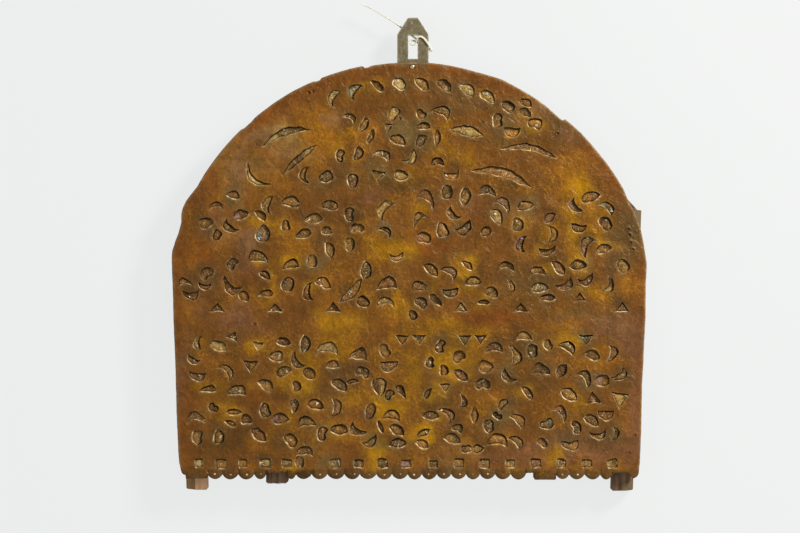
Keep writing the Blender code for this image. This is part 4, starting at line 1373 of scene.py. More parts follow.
    def bead_heights(self, right: np.ndarray, drop: np.ndarray, waver: Waver) -> np.ndarray:
        """Work out the domes of the beads and the groove above them.

        Args:
            right: Places right of the axis, in mm.
            drop: Places below the top, in mm.
            waver: The board's own unevenness.

        Returns:
            Heights in mm.
        """
        zone = smooth(485.6, 489.5, drop)
        sag = np.zeros_like(right)
        for left, widths in self.bead_runs:
            for width in widths:
                across = (right - left - width / 2) / (width / 2)
                reach = across**2 + ((drop - self.dome) / self.dome_reach) ** 2
                sag = np.where(np.abs(across) <= 1.0, self.dome_sag * np.clip(reach, 0, 1.3) ** 2, sag)
                left += width
        on_block, on_beads = ((right > start) & (right < end) for start, end in (self.block, self.beaded))
        sag = np.where(on_block, 0.9 * smooth(496.0, 499.5, drop), sag)
        groove = 0.42 * bell(drop, self.groove, 0.9) * (0.75 + 0.4 * waver.at(right, 4.0, 15.0))
        return np.where(on_beads, -sag * zone - groove, 0.0)

    def tones(self, right: np.ndarray, drop: np.ndarray) -> tuple[np.ndarray, np.ndarray]:
        """Mix the soft patches of the face.

        Args:
            right: Places right of the axis, in mm.
            drop: Places below the top, in mm.

        Returns:
            Colours, one row for each place, and how gilt each place is.
        """
        waver = Waver(31)
        x = right + 13 * waver.at(right, drop, 26.0, 4)
        z = drop + 13 * waver.at(drop, right, 23.0, 4)
        base = np.tile(np.array(Tone.UMBER.value), (len(right), 1))
        gilt = np.clip(0.35 + 0.4 * waver.at(right, drop, 40.0, 3), 0.0, 1.0)
        turn = np.arctan2(right, self.motif.arch_radius / MM - drop)
        radius = np.hypot(right, self.motif.arch_radius / MM - drop)
        off_rim = np.where(drop < 174, self.motif.arch_radius / MM - radius, 284 - np.abs(right))
        rim = 1 - smooth(5.0, 21.0, off_rim + 5 * waver.at(turn * 90, radius, 14.0, 2))
        for weight in (rim * 0.85, bell(drop, 474, 14) * 0.35):
            stain(base, Tone.RED, weight)
        gilt *= 1 - rim
        for patch in PATCHES:
            reach = ((x - patch.right) / patch.half_width) ** 2 + ((z - patch.drop) / patch.half_height) ** 2
            weight = patch.strength * np.exp(-(reach**1.4))
            stain(base, patch.tone, weight)
            aim = {Tone.YELLOW: 1.0, Tone.GOLD: 0.85, Tone.OCHRE: 0.5, Tone.TAN: 0.35}.get(patch.tone, 0.0)
            gilt += (aim - gilt) * weight
        self.stain_about_beds(base, gilt, x, z)
        # hollow dents are painted darker towards their middle, a painted shade in the hollow
        for dent in DENTS:
            base *= (1 - 0.6 * (dent.height < 0) * np.exp(-(dent.reach(right, drop)**3)))[:, None]
        beads = smooth(486.0, 490.0, drop)
        stain(base, Tone.DUSK, beads * 0.6, 0.8)
        charred = beads * (smooth(-150, -145, right) * (1 - smooth(-116, -111, right)) * 0.55
                           + smooth(147, 151, right) * (1 - smooth(154, 176, right)) * 0.4)
        base *= (1 - charred)[:, None]
        return base, gilt * (1 - 0.5 * beads)

    def stain_about_beds(self, base: np.ndarray, gilt: np.ndarray, x: np.ndarray, z: np.ndarray) -> None:
        """Stain the lacquer about the beds: rubbed gilt about some, dulled about others.

        Args:
            base: The colours so far, changed in place.
            gilt: How gilt each place is, changed in place.
            x: Places right of the axis, in mm.
            z: Places below the top, in mm.
        """
        chance = random.Random(905)
        stains = ((Tone.DUSK, 0.0), (Tone.GREY, 0.0), (Tone.YELLOW, 0.9), (Tone.GOLD, 0.7), (Tone.DUSK, 0.0),
                  (Tone.DARK, 0.0), (Tone.OCHRE, 0.5))
        for bed in self.beds:
            tone, aim = chance.choice(stains)
            reach = chance.uniform(7.0, 15.0)
            right = (bed.middle.x - self.motif.axis_x) / MM + chance.uniform(-6, 6)
            drop = (self.motif.top_z - bed.middle.y) / MM + chance.uniform(-6, 6)
            near = np.flatnonzero((np.abs(x - right) < 2 * reach) & (np.abs(z - drop) < 2 * reach))
            distance = np.hypot(x[near] - right, (z[near] - drop) * 1.15) / reach
            weight = chance.uniform(0.35, 0.85) * np.exp(-(distance**2.6))
            base[near] += (np.array(tone.value) - base[near]) * weight[:, None]
            gilt[near] += (aim - gilt[near]) * weight

    def leave_relics(self) -> None:
        """Give each bed its tone and what is left in it."""
        chance = random.Random(404)
        floors = (Tone.FLOOR, Tone.FLOOR, Tone.DEEP, Tone.DEEP, Tone.DUSK, Tone.ROSE, Tone.TAN, Tone.UMBER)
        for bed in self.beds:
            bed.tone = chance.choice(floors)
            bed.chips = chance.uniform(0.0, 0.3)
        for relic in RELICS:
            spot = self.motif.at(relic.right, relic.drop)
            bed = min(self.beds, key=lambda candidate: (candidate.middle - spot).length)
            bed.tint, bed.hour, bed.chips = relic.tone, relic.hour, max(relic.chips, 0.1)

    def cast(self) -> Piece:
        """Build the board's mesh.

        Returns:
            The board.
        """
        self.beds = self.motif.carve()
        self.leave_relics()
        LOG.info("%d beds", len(self.beds))
        shell = Shell("depth", "cut", "bed", "lip", "grime", "fleck", "bare", "halo")
        rings = [self.outline()]
        rings += [relax(inset(rings[0], distance * MM), passes) for distance, passes in self.edge_insets]
        cuts = CutRims(self.beds, rings[-1])
        edge = self.put_edge(shell, rings)
        bore = circle(Vector((0.0, self.bore_z)), self.bore, 12)
        front_bore = [shell.pin(p, grime=0.9) for p in bore]
        holes = [(bore, front_bore), *cuts.put(shell)]
        shell.sheet([(rings[-1], edge[-1]), *holes], self.field_points(), self.field_clear, shell.pin)
        front_count = len(shell.points)
        self.put_back(shell, (rings[0], edge[0]), (bore, front_bore))
        return self.shape(shell, front_count)

    def put_edge(self, shell: Shell, rings: Sequence[Ring]) -> list[Row]:
        """Add the rounded front edge.

        Args:
            shell: The board's shell.
            rings: The outline and its insets, from the outside in.

        Returns:
            The rows of points, from the outside in.
        """
        foot = self.motif.top_z - self.foot_zone
        rows = [[shell.pin(p, depth=depth * MM, lip=lip * (p.y > foot), bare=bare * (p.y > foot),
                           grime=grime) for p in ring]
                for ring, (depth, lip, bare, grime) in zip(rings, self.edge_steps)]
        shell.bands(rows)
        return rows

    def field_points(self) -> list[Vector]:
        """Scatter the points that carry the face between the beds.

        Returns:
            An uneven grid, finer along the beads and about the small dents.
        """
        chance = np.random.default_rng(9)
        points = []
        for pitch, low, high in self.field_bands:
            pitch *= MM
            across = np.arange(-290 * MM, 290 * MM, pitch)
            for row, drop in enumerate(np.arange(low * MM, high * MM, pitch * 0.87)):
                jitter = chance.uniform(-0.22, 0.22, (len(across), 2)) * pitch
                points += [self.motif.place(right + jitter[i, 0], drop + jitter[i, 1])
                           for i, right in enumerate(across + (row % 2) * pitch / 2)]
        for dent in DENTS:
            middle = self.motif.at(dent.right, dent.drop)
            for share, sides in ((0.0, 1), (0.45, 6), (0.9, 9), (1.35, 11), (1.8, 12)):
                points += circle(middle, dent.radius * share * MM + 1e-6, sides)
        return points

    def put_back(self, shell: Shell, front: tuple[Ring, Row], bore: tuple[Ring, Row]) -> None:
        """Add the sides, the bore's wall and the plain back.

        Args:
            shell: The board's shell.
            front: The board's outline and the outermost row of its front edge.
            bore: The nail's bore and its front row.
        """
        waver = Waver(63)
        outline, side_rows = front[0], [front[1]]
        sunk = inset(outline, 0.25 * MM)
        for y, bare in ((-10.5 * MM, 0.6), (-6.0 * MM, 0.8), (self.back_y - 0.8 * MM, 0.9)):
            shares = [0.5 + 0.5 * float(waver.at(p.x + y, p.y, 11 * MM, 2)) for p in outline]
            spots = [a.lerp(b, s) for a, b, s in zip(outline, sunk, shares)]
            side_rows.append([shell.pin(spot, y, bare=bare * (0.75 + 0.25 * s), grime=0.3 * s)
                              for spot, s in zip(spots, shares)])
        rim = relax(inset(outline, 0.7 * MM), 2)
        side_rows.append([shell.pin(p, self.back_y, bare=1.0, grime=0.25) for p in rim])
        shell.bands(side_rows)
        back_bore = [shell.pin(p, self.back_y, bare=1.0, grime=0.5) for p in bore[0]]
        shell.bands([bore[1], back_bore])
        pitch = 9 * MM
        grid = [self.motif.place(right, drop) for right in np.arange(-285 * MM, 285 * MM, pitch)
                for drop in np.arange(0.0, 500 * MM, pitch)]

        def put_scoop(place: Vector) -> int:
            """Add a point of the back, a little hollow where the plane dipped."""
            scoop = 0.3 * MM * abs(float(waver.at(place.x, place.y * 3, 30 * MM, 2)))
            return shell.pin(place, self.back_y - scoop, bare=1.0, grime=0.1)

        shell.sheet([(rim, side_rows[-1]), (bore[0], back_bore)], grid, pitch * 0.4, put_scoop)

    def shape(self, shell: Shell, front_count: int) -> Piece:
        """Raise the face, colour it and make the object.

        Args:
            shell: The board's shell.
            front_count: How many of its points, from the first, belong to the face.

        Returns:
            The board.
        """
        points = np.array(shell.points)
        right = (points[:, 0] - self.motif.axis_x) / MM
        drop = (self.motif.top_z - points[:, 2]) / MM
        depth, cut, bed_number = (np.array(shell.notes.pop(name)) for name in ("depth", "cut", "bed"))
        rise = np.minimum(self.heights(right, drop), self.proud) * MM
        points[:front_count, 1] = (self.front_y + depth - rise)[:front_count]
        shell.points = [tuple(point) for point in points]
        tones, gilt = self.tones(right, drop)
        floors = self.floor_tones(points, bed_number.astype(int))
        tones += (floors * 0.85 + tones * 0.25 - tones) * cut[:, None]
        shell.notes["floor"] = list(cut)
        shell.tones = tones
        shell.notes["gilt"] = list(gilt * (1 - 0.75 * cut))
        return shell.build("board_carved", 50.0)

    def floor_tones(self, points: np.ndarray, bed_number: np.ndarray) -> np.ndarray:
        """Colour the beds' floors.

        Args:
            points: The shell's points.
            bed_number: The bed that each point lies in.

        Returns:
            Colours, one row for each point.
        """
        base = np.array([bed.tone.value for bed in self.beds])
        tint = np.array([(bed.tint or bed.tone).value for bed in self.beds])
        middles = np.array([bed.middle[:] for bed in self.beds])
        spans = np.array([max(bed.length, bed.width) / 2 for bed in self.beds])
        ways = np.array([(0.0, 0.0) if bed.hour is None else clock_way(bed.hour) for bed in self.beds])
        offset = (points[:, [0, 2]] - middles[bed_number]) / spans[bed_number][:, None]
        lean = (offset * ways[bed_number]).sum(axis=1)
        whole = (np.abs(ways).sum(axis=1) < 1e-6)[bed_number]
        share = np.where(whole, 0.9, smooth(0.1, 0.5, lean) * 0.9)
        waver = Waver(47)
        share *= 0.75 + 0.35 * waver.at(points[:, 0], points[:, 2], 3.5 * MM, 2)
        return base[bed_number] + (tint - base)[bed_number] * share[:, None]


class CutRim:
    """A bed's rim, the spine inside it and the rings that its walls are made of."""

    LIP_REACH = 2.7 * MM
    CREST_SHARE = 0.36
    CREST_RISE = 0.6 * MM
    FOOT_SHARE = 0.88
    STEEP = (0.2, 0.55, 1.2, 2.1, 3.8)
    BEVEL = (0.30, 0.80, 1.35, 2.1, 3.5)
    DEPTHS = (0.16, 0.66, 0.97, 1.0, 1.0)
    DOMED = (0, 0, 0.05, 0.35, 0.8)
    CUTS = (0.1, 0.5, 0.85, 1.0, 1.0)
    # These rows feed painted light on the walls: a pale painted highlight on the lit lower-left walls, and
    # dark painted shade, with some dirt, on the steep upper-right walls
    RUBBED_AND_LIT = (0.6, 0.3, 0.05, 0, 0)
    GRIME_AND_SHADE_STEEP = (1.0, 1.0, 1.0, 0.8, 0.2)
    GRIME_AND_SHADE_BEVEL = (0.0, 0.2, 0.6, 0.5, 0.1)
    LIT_WAY = Vector((-0.64, -0.77))

    def __init__(self, number: int, bed: Bed, waver: Waver) -> None:
        """Draw the rim, a little uneven.

        Args:
            number: The bed's number.
            bed: The bed.
            waver: The unevenness of all the beds.
        """
        self.number, self.bed, self.waver = number, bed, waver
        count = bed.stations()
        pairs = [bed.sides(k / count) for k in range(count + 1)]
        self.spine = [(a + b) / 2 for a, b in pairs[1:-1]]
        self.rim = [pair[0] for pair in pairs] + [pair[1] for pair in pairs[-2:0:-1]]
        self.stations = [min(max(k, 1), count - 1) - 1 for k in range(count + 1)]
        self.stations += [k - 1 for k in range(count - 1, 0, -1)]
        if signed_area(self.rim) < 0:
            self.rim.reverse()
            self.stations.reverse()
        for i, point in enumerate(self.rim):
            inward = self.inward(i)
            swing = float(waver.at(point.x, point.y, 7.5 * MM, 3)) * 1.9 * MM
            limit = 0.36 * inward.length
            self.rim[i] = point + inward.normalized() * min(max(swing, -limit), limit)

    def inward(self, i: int) -> Vector:
        """Return the way from one of the rim's points to its place on the spine."""
        return self.spine[self.stations[i]] - self.rim[i]

    def lip_ring(self, reaches: Sequence[float]) -> list[Vector]:
        """Draw the outer ring of the lip, drawn in until it doesn't cross itself.

        Args:
            reaches: How wide the lip may be at each point.

        Returns:
            A ring of as many points as the rim.
        """
        ways = []
        for i in range(len(self.rim)):
            along = self.rim[(i + 1) % len(self.rim)] - self.rim[i - 1]
            ways.append((Vector((along.y, -along.x)).normalized() - self.inward(i).normalized()).normalized())
        for share in (1.0, 0.75, 0.55, 0.4, 0.25):
            ring = [point + way * (reach * share) for point, way, reach in zip(self.rim, ways, reaches)]
            ring = relax(ring, 2) if share > 0.5 else ring
            if not crosses(ring) and all(within(point, ring) for point in self.rim):
                return ring
        return ring

    def lump(self, place: Vector) -> float:
        """Return how high the old bedding stands on the floor, in mm."""
        return 0.6 * float(self.waver.at(place.x + 0.5, place.y, 5.0 * MM, 2))

    def put(self, shell: Shell, chance: random.Random, outer: Ring) -> tuple[Ring, Row]:
        """Add the bed's lip, walls and floor.

        Args:
            shell: The board's shell.
            chance: The seeded unevenness of its depth.
            outer: The outer ring of its lip.

        Returns:
            The outer ring with its points in the shell.
        """
        low, high = (1.3, 2.3) if self.bed.kind is Kind.SQUARE else (1.8, 3.1)
        depth = chance.uniform(low, high) * MM
        if self.bed.chips > 0.5:
            depth *= 0.72
        fleck = 0.45 + self.bed.chips * 0.5
        dome = chance.uniform(0.0, 0.62)
        columns = []
        reaches = [0.0] * len(self.spine)
        for i, (point, base) in enumerate(zip(self.rim, outer)):
            inward = self.inward(i)
            length = max(inward.length, 0.05 * MM)
            inward = inward / length
            run = self.FOOT_SHARE * length
            reach = (base - point).length
            away = (base - point) / max(reach, 1e-9)
            # The lower-left side faces the light: its lip gets a pale painted highlight along with some wear,
            # while the upper-right side gets a dark painted shadow along with some dirt.
            bevel = float(smooth(-0.25, 0.75, away.dot(self.LIT_WAY)))
            ragged = float(smooth(-0.5, 0.6, self.waver.at(point.x, point.y, 4.2 * MM, 2)))
            rise = -self.CREST_RISE * (reach / self.LIP_REACH) * (0.4 + 1.2 * ragged)
            column = [
                shell.pin(base, bed=self.number, grime=0.05, lip=0.1 * bevel, halo=0.4),
                shell.pin(point.lerp(base, self.CREST_SHARE), bed=self.number, depth=rise, halo=1.0,
                          lip=0.05 + 0.75 * bevel * ragged**1.6, grime=(1 - bevel) * (0.3 + 0.6 * ragged)),
                shell.pin(point, bed=self.number, depth=rise * 0.6, lip=0.05 + 1.1 * bevel * ragged,
                          grime=(1 - bevel), halo=0.7)]
            local = depth * (0.3 + 0.7 * float(smooth(0.25, 2.0, length / MM)))
            reaches[self.stations[i]] = max(reaches[self.stations[i]], length)
            for k, share in enumerate(self.DEPTHS):
                share -= dome * self.DOMED[k]
                wide = self.STEEP[k] + (self.BEVEL[k] - self.STEEP[k]) * bevel
                spot = point + inward * (run * (1 - math.exp(-wide * MM / run)))
                lump = self.lump(spot) if k > 2 else 0.0
                column.append(shell.pin(
                    spot, bed=self.number, depth=local * share - lump * MM,
                    lip=self.RUBBED_AND_LIT[k] * bevel * ragged,
                    grime=self.GRIME_AND_SHADE_STEEP[k] * (1 - bevel) + self.GRIME_AND_SHADE_BEVEL[k] * bevel,
                    cut=self.CUTS[k] - 0.35 * max(lump, 0.0), fleck=fleck * self.CUTS[k]))
            columns.append(column)
        rows = list(zip(*columns))
        shell.bands(rows)
        middle_row = []
        for place, reach in zip(self.spine, reaches):
            local = depth * (1 - dome) * (0.35 + 0.65 * float(smooth(0.25, 2.0, reach / MM)))
            lump = self.lump(place)
            middle_row.append(shell.pin(place, depth=local - lump * MM, bed=self.number,
                                        cut=1.0 - 0.35 * max(lump, 0.0), grime=0.08, fleck=fleck))
        middles = [middle_row[station] for station in self.stations]
        for (start, end), (a, b) in zip(pairs_round(rows[-1]), pairs_round(middles)):
            shell.faces.append((start, end, a) if a == b else (start, end, b, a))
        return outer, rows[0]


class CutRims:
    """All the beds' rims, kept clear of each other and of the board's edge."""

    CLEAR = 0.75 * MM
    WIDE = 3 * MM

    def __init__(self, beds: list[Bed], border: Ring) -> None:
        """Draw the rims and ease them apart.

        Args:
            beds: The beds.
            border: The innermost ring of the board's edge.
        """
        waver = Waver(83)
        self.border = border
        self.rims = [CutRim(number, bed, waver) for number, bed in enumerate(beds)]
        for _ in range(8):
            if not self.ease():
                break

    def sample_tree(self) -> tuple[KDTree, list[int]]:
        """Sample all the rims and the border.

        Returns:
            The samples and the rim that each belongs to, -1 for the border.
        """
        samples, owners = [], []
        for number, ring in [*((rim.number, rim.rim) for rim in self.rims), (-1, self.border)]:
            for a, b in pairs_round(ring):
                samples += [a.lerp(b, share) for share in (0.0, 1 / 3, 2 / 3)]
                owners += [number] * 3
        return tree_of(samples), owners

    def nearest(self, tree: KDTree, owners: list[int], number: int, point: Vector) -> tuple[float, int]:
        """Return how far the nearest other rim is and its number, or a wide distance and -2."""
        hits = sorted(tree.find_range((point.x, point.y, 0.0), self.WIDE), key=lambda hit: hit[2])
        return next(((hit[2], owners[hit[1]]) for hit in hits if owners[hit[1]] != number), (self.WIDE, -2))

    def ease(self) -> bool:
        """Draw back the points of rims that come too close to others.

        Returns:
            Whether any point was moved.
        """
        tree, owners = self.sample_tree()
        moved = False
        for cut in self.rims:
            for i, point in enumerate(cut.rim):
                distance, other = self.nearest(tree, owners, cut.number, point)
                if other < 0 and distance > self.CLEAR:
                    continue
                inside = other >= 0 and within(point, self.rims[other].rim)
                if inside or distance < self.CLEAR:
                    inward = cut.inward(i)
                    step = distance + 0.3 * MM if inside else (self.CLEAR - distance) * 0.6
                    cut.rim[i] = point + inward * min(0.5, step / max(inward.length, 1e-9))
                    moved = True
        return moved

    def put(self, shell: Shell) -> list[tuple[Ring, Row]]:
        """Add every bed's lip, walls and floor.

        Args:
            shell: The board's shell.

        Returns:
            The outermost ring of each bed with its points in the shell.
        """
        chance = random.Random(808)
        tree, owners = self.sample_tree()
        holes = []
        for cut in self.rims:
            gaps = [self.nearest(tree, owners, cut.number, point)[0] for point in cut.rim]
            reaches = [min(cut.LIP_REACH, 0.4 * gap) for gap in gaps]
            holes.append(cut.put(shell, chance, cut.lip_ring(reaches)))
        return holes


def crosses(ring: Ring) -> bool:
    """Tell whether a closed ring crosses itself.

    Args:
        ring: The ring.

    Returns:
        Whether two of its sides meet.
    """
    sides = pairs_round(ring)
    for i, (a, b) in enumerate(sides):
        for c, d in sides[i + 2:len(sides) - (i == 0)]:
            if ((b - a).cross(c - a) > 0) != ((b - a).cross(d - a) > 0):
                if ((d - c).cross(a - c) > 0) != ((d - c).cross(b - c) > 0):
                    return True
    return False


def within(point: Vector, ring: Ring) -> bool:
    """Tell whether a point lies inside a polygon.

    Args:
        point: The point.
        ring: The polygon.

    Returns:
        Whether it is inside.
    """
    inside = False
    for a, b in pairs_round(ring):
        if (a.y > point.y) != (b.y > point.y):
            if point.x < a.x + (b.x - a.x) * (point.y - a.y) / (b.y - a.y):
                inside = not inside
    return inside


# ---- battens


@dataclass(frozen=True)
class Batten:
    """A sawn batten behind the board. Sizes in mm; right is from the board's axis."""

    name: str
    node: str
    axis_foot: float
    top: Pairs
    foot: Pairs
    side: int = 0
    lean: float = 0.0
    chamfer: float = 0.0
    broken: bool = False
    seed: int = 1
    width: float = 26.7
    depth: float = 22.0
    front_y: float = -1.25
    splinters: int = 70

    def section(self) -> list[Vector]:
        """Draw the cross section, with its corners eased.

        Returns:
            Places as across and depth, in mm, round the section.
        """
        half, cut = self.width / 2, self.chamfer
        corners = [Vector((-half, 0.0)), Vector((half - cut, 0.0)), Vector((half, cut)),
                   Vector((half, self.depth)), Vector((-half, self.depth))]
        if not cut:
            del corners[2]
        return eased(corners, 0.9, 0.28, 3.2)

    def place(self, across: float, deep: float, share: float, waver: Waver, lowest: float = 600.0) -> Triple:
        """Turn a place in the batten into one in the model.

        Args:
            across: From its axis outwards, in mm.
            deep: Behind its front, in mm.
            share: 0 at the top, 1 at the foot.
            waver: The batten's unevenness.
            lowest: The furthest that it may be below the board's top, in mm.

        Returns:
            X, Y and Z in metres.
        """
        low, high = (float(np.interp(across, *zip(*line))) for line in (self.top, self.foot))
        if self.broken:
            high -= 1.7 * (0.5 + 0.5 * float(waver.at(across, deep * 0.4, 1.7, 2)))
        drop = min(low + (high - low) * share, lowest)
        hand = self.side or 1
        axis = self.axis_foot + hand * self.lean * (self.foot[0][1] - drop)
        spot = Motif().at(axis + hand * across, drop)
        return spot.x, (self.front_y + deep) * MM, spot.y

    def build(self) -> Piece:
        """Build the batten.

        Returns:
            The batten with its sawn faces, eased edges and cut or broken ends.
        """
        waver, section, shell = Waver(self.seed), self.section(), Shell("facet_painted_light", "raw")
        middle = Vector((0.0, self.depth / 2))
        length = self.foot[0][1] - self.top[0][1]
        count = round(length / 9)
        rounding = 0.8 if self.broken else 1.6
        rows = []
        for share, tuck in ((0.0, 0.7), (0.7 / length, 0.0), *((k / count, 0.0) for k in range(1, count)),
                            (1 - rounding / length, 0.0), (1 - rounding * 0.3 / length, 0.35 * rounding),
                            (1.0, rounding)):
            row = []
            for spot in section:
                rough = 0.28 * abs(float(waver.at(share * length / 9 + spot.x, spot.y, 4.0, 2)))
                pull = (middle - spot).normalized() * (rough + tuck)
                across, deep = spot.x + pull.x, spot.y + pull.y
                on_facet = spot.x > self.width / 2 - self.chamfer + 0.2 and spot.y < self.chamfer - 0.2
                row.append(shell.put(*self.place(across, deep, share, waver), facet_painted_light=float(on_facet),
                                     raw=float(share in (0.0, 1.0))))
            rows.append(row)
        shell.bands(rows)
        for row, share in ((rows[0], 0.0), (rows[-1], 1.0)):
            for size in (0.78, 0.54, 0.3):
                spots = [middle + (spot - middle) * size for spot in section]
                inner = [shell.put(*self.place(p.x, p.y, share, waver), raw=1.0) for p in spots]
                shell.bands([row, inner])
                row = inner
            shell.fill(row)
        return shell.build(self.name, 34.0)

    def splinter_marks(self) -> "Scatter":
        """Mark where splinters stand on the broken foot.

        Returns:
            The marks.
        """
        chance, waver = random.Random(self.seed), Waver(self.seed)
        marks = Scatter("foot_splinters", Bit.SPLINTER, seed=self.seed)
        for _ in range(self.splinters):
            across = chance.uniform(-0.47, 0.47) * self.width
            deep = chance.uniform(0.8, 9.0) if chance.random() < 0.7 else chance.uniform(9.0, self.depth - 1)
            reach = chance.uniform(0.6, 2.0)
            spot = self.place(across, deep, 1.0, waver, 506.0 - reach * 0.5)
            turn = (math.pi + chance.uniform(-0.25, 0.25), chance.uniform(-0.2, 0.2), chance.uniform(0, 3))
            size = (chance.uniform(0.25, 0.6), chance.uniform(0.25, 0.6), reach)
            marks.mark([value / MM for value in spot], size, turn)
        return marks


LEAN = 10.2 / 339.2
BATTENS = (
    Batten("batten_left_leaning", "batten_outer_left", -257.1, ((0, 203),), ((0, 513.4),), -1, LEAN, 12.4,
           seed=51),
    Batten("batten_right_leaning", "batten_outer_right", 258.0,
           ((-13.4, 153.6), (7.6, 175.4), (13.4, 175.4)), ((0, 514.5),), 1, LEAN, 9.6, seed=52),
    Batten("batten_broken", "batten_inner_left", -159.6, ((0, 80.1),),
           ((-13.35, 505.1), (-9, 506.1), (-4, 505.6), (0, 506.3), (5, 505.8), (9, 506.0), (13.35, 504.6)),
           broken=True, seed=53),
    Batten("batten_short", "batten_inner_right", 164.2, ((0, 80.1),), ((0, 501.2),), seed=54))


# ---- hanging plate and nail


@dataclass(frozen=True)
class HangingPlate:
    """The slotted steel plate that carries everything. Sizes in mm, Z as in the model."""

    half: float = 19.0
    centre_x: float = -0.25
    tip_half: float = 5.9
    tip_z: float = 21.4
    shoulder_z: float = 1.1
    foot_z: float = -61.9
    slot_half: float = 5.7
    slot_drop: float = 28.4
    front_y: float = -1.25
    back_y: float = 1.25
    bevel: float = 0.4
    grid: float = 1.9
    nail: Triple = (-1.2, -39.6, 1.7)
    dimple: Triple = (-0.3, 15.4, 1.5)

    def worn(self, corners: Pairs, reach: float) -> list[Vector]:
        """Round a polygon's corners and wear its sides.

        Args:
            corners: The polygon, in mm.
            reach: How far from the corner the rounding starts.

        Returns:
            The worn polygon.
        """
        waver = Waver(71)
        points = eased([Vector((x + self.centre_x, z)) for x, z in corners], reach, 0.3, 1.8)
        wear = [0.22 * abs(float(waver.at(p.x, p.y, 3.1, 2))) for p in points]
        return [a.lerp(b, w) for a, b, w in zip(points, inset(points, 1.0), wear)]

    def build(self) -> Piece:
        """Build the plate.

        Returns:
            The plate with bevelled edges, its slot, the nail's bore and a punched dimple.
        """
        shell = Shell("edge")
        right_side = ((self.half, self.foot_z), (self.half, self.shoulder_z), (self.tip_half, self.tip_z))
        left_side = tuple((-x, z) for x, z in right_side[::-1])
        outline = self.worn((left_side[-1], *right_side, *left_side[:-1]), 1.3)
        side, foot = self.slot_half, -self.slot_drop
        slot = self.worn(((-side, foot), (side, foot), (side, 0.0), (-side, 0.0)), 0.7)
        bore = circle(Vector(self.nail[:2]), self.nail[2], 14)
        fronts, backs = [], []
        for ring, share in ((outline, 1.0), (slot[::-1], 1.0), (bore[::-1], 0.5)):
            sunk = inset(ring, self.bevel * share)
            rows = [[shell.put(p.x * MM, y * MM, p.y * MM, edge=edge) for p in line] for line, y, edge in (
                (sunk, self.front_y, 0.6), (ring, self.front_y + self.bevel, 1.0),
                (ring, self.back_y - self.bevel, 0.8), (sunk, self.back_y, 0.3))]
            shell.bands(rows)
            flat = [p * MM for p in sunk]
            for face, row in ((fronts, rows[0]), (backs, rows[-1])):
                face.append((flat, row) if signed_area(flat) > 0 else (flat[::-1], row[::-1]))
        chance = random.Random(73)
        heights = np.arange(self.foot_z + 1, self.tip_z, self.grid)
        grid = [Vector((x + chance.uniform(-0.4, 0.4), z + chance.uniform(-0.4, 0.4))) * MM
                for x in np.arange(-18, 18, self.grid) for z in heights]
        marks = [p * MM for share, sides in ((0.001, 1), (0.5, 7), (0.95, 10), (1.4, 12))
                 for p in circle(Vector(self.dimple[:2]), self.dimple[2] * share, sides)]
        shell.sheet(fronts, marks + grid, 0.5 * MM, lambda place: self.put_face(shell, place))
        shell.sheet(backs, grid, 0.5 * MM, lambda place: shell.pin(place, self.back_y * MM))
        return shell.build("slotted_plate", 38.0)

    def put_face(self, shell: Shell, place: Vector) -> int:
        """Add a point of the front, which is a little dished and carries the dimple.

        Args:
            shell: The plate's shell.
            place: Where, in metres.

        Returns:
            The point's number.
        """
        dish = 0.12 * abs(float(Waver(74).at(place.x / MM, place.y / MM, 9.0, 2)))
        reach = (place / MM - Vector(self.dimple[:2])).length / self.dimple[2]
        dish += 0.45 * math.exp(-(reach**4))
        return shell.pin(place, (self.front_y + dish) * MM, edge=0.15 * float(bell(reach, 1.05, 0.3)))


@dataclass(frozen=True)
class RimNail:
    """The domed nail through the board and the plate, clenched behind. Sizes in mm."""

    x: float = -1.2
    z: float = -39.6
    face_y: float = -15.6
    back_y: float = 1.55
    head: tuple[Triple, ...] = (
        (0.55, -1.46, 1.0), (1.2, -1.34, 1.0), (1.9, -1.08, 0.8), (2.5, -0.7, 0.3), (2.9, -0.34, 0.0),
        (3.12, -0.02, 0.0), (3.0, 0.26, 0.0), (1.5, 0.3, 0.0), (1.35, 0.6, 0.0))
    clench: tuple[Triple, ...] = ((1.35, -0.1, 0.2), (1.6, 0.0, 0.2), (2.45, 0.1, 0.3), (2.2, 0.7, 0.6),
                                  (1.2, 0.98, 0.7))

    def build(self) -> Piece:
        """Build the nail.

        Returns:
            The nail, its dome beaten a little uneven.
        """
        waver, shell = Waver(88), Shell("edge")
        length = self.back_y - self.face_y
        rows = []
        for radius, offset, worn in (*self.head, *((a, length + b, c) for a, b, c in self.clench)):
            spots = circle(Vector((0.0, 0.0)), radius, 20)
            dents = [abs(0.12 * float(waver.at(spot.x, spot.y, 1.3, 2)) * (offset < 0)) for spot in spots]
            rows.append([shell.put((self.x + spot.x) * MM, (self.face_y + offset + dent) * MM,
                                   (self.z + spot.y) * MM, edge=worn) for spot, dent in zip(spots, dents)])
        shell.bands(rows)
        shell.fill(rows[0])
        shell.fill(rows[-1])
        return shell.build("domed_nail", 50.0)


# ---- nylon tie


Stops = Sequence[tuple[float, float, float, Triple]]
Spine = list[tuple[Vector, Vector, Vector]]


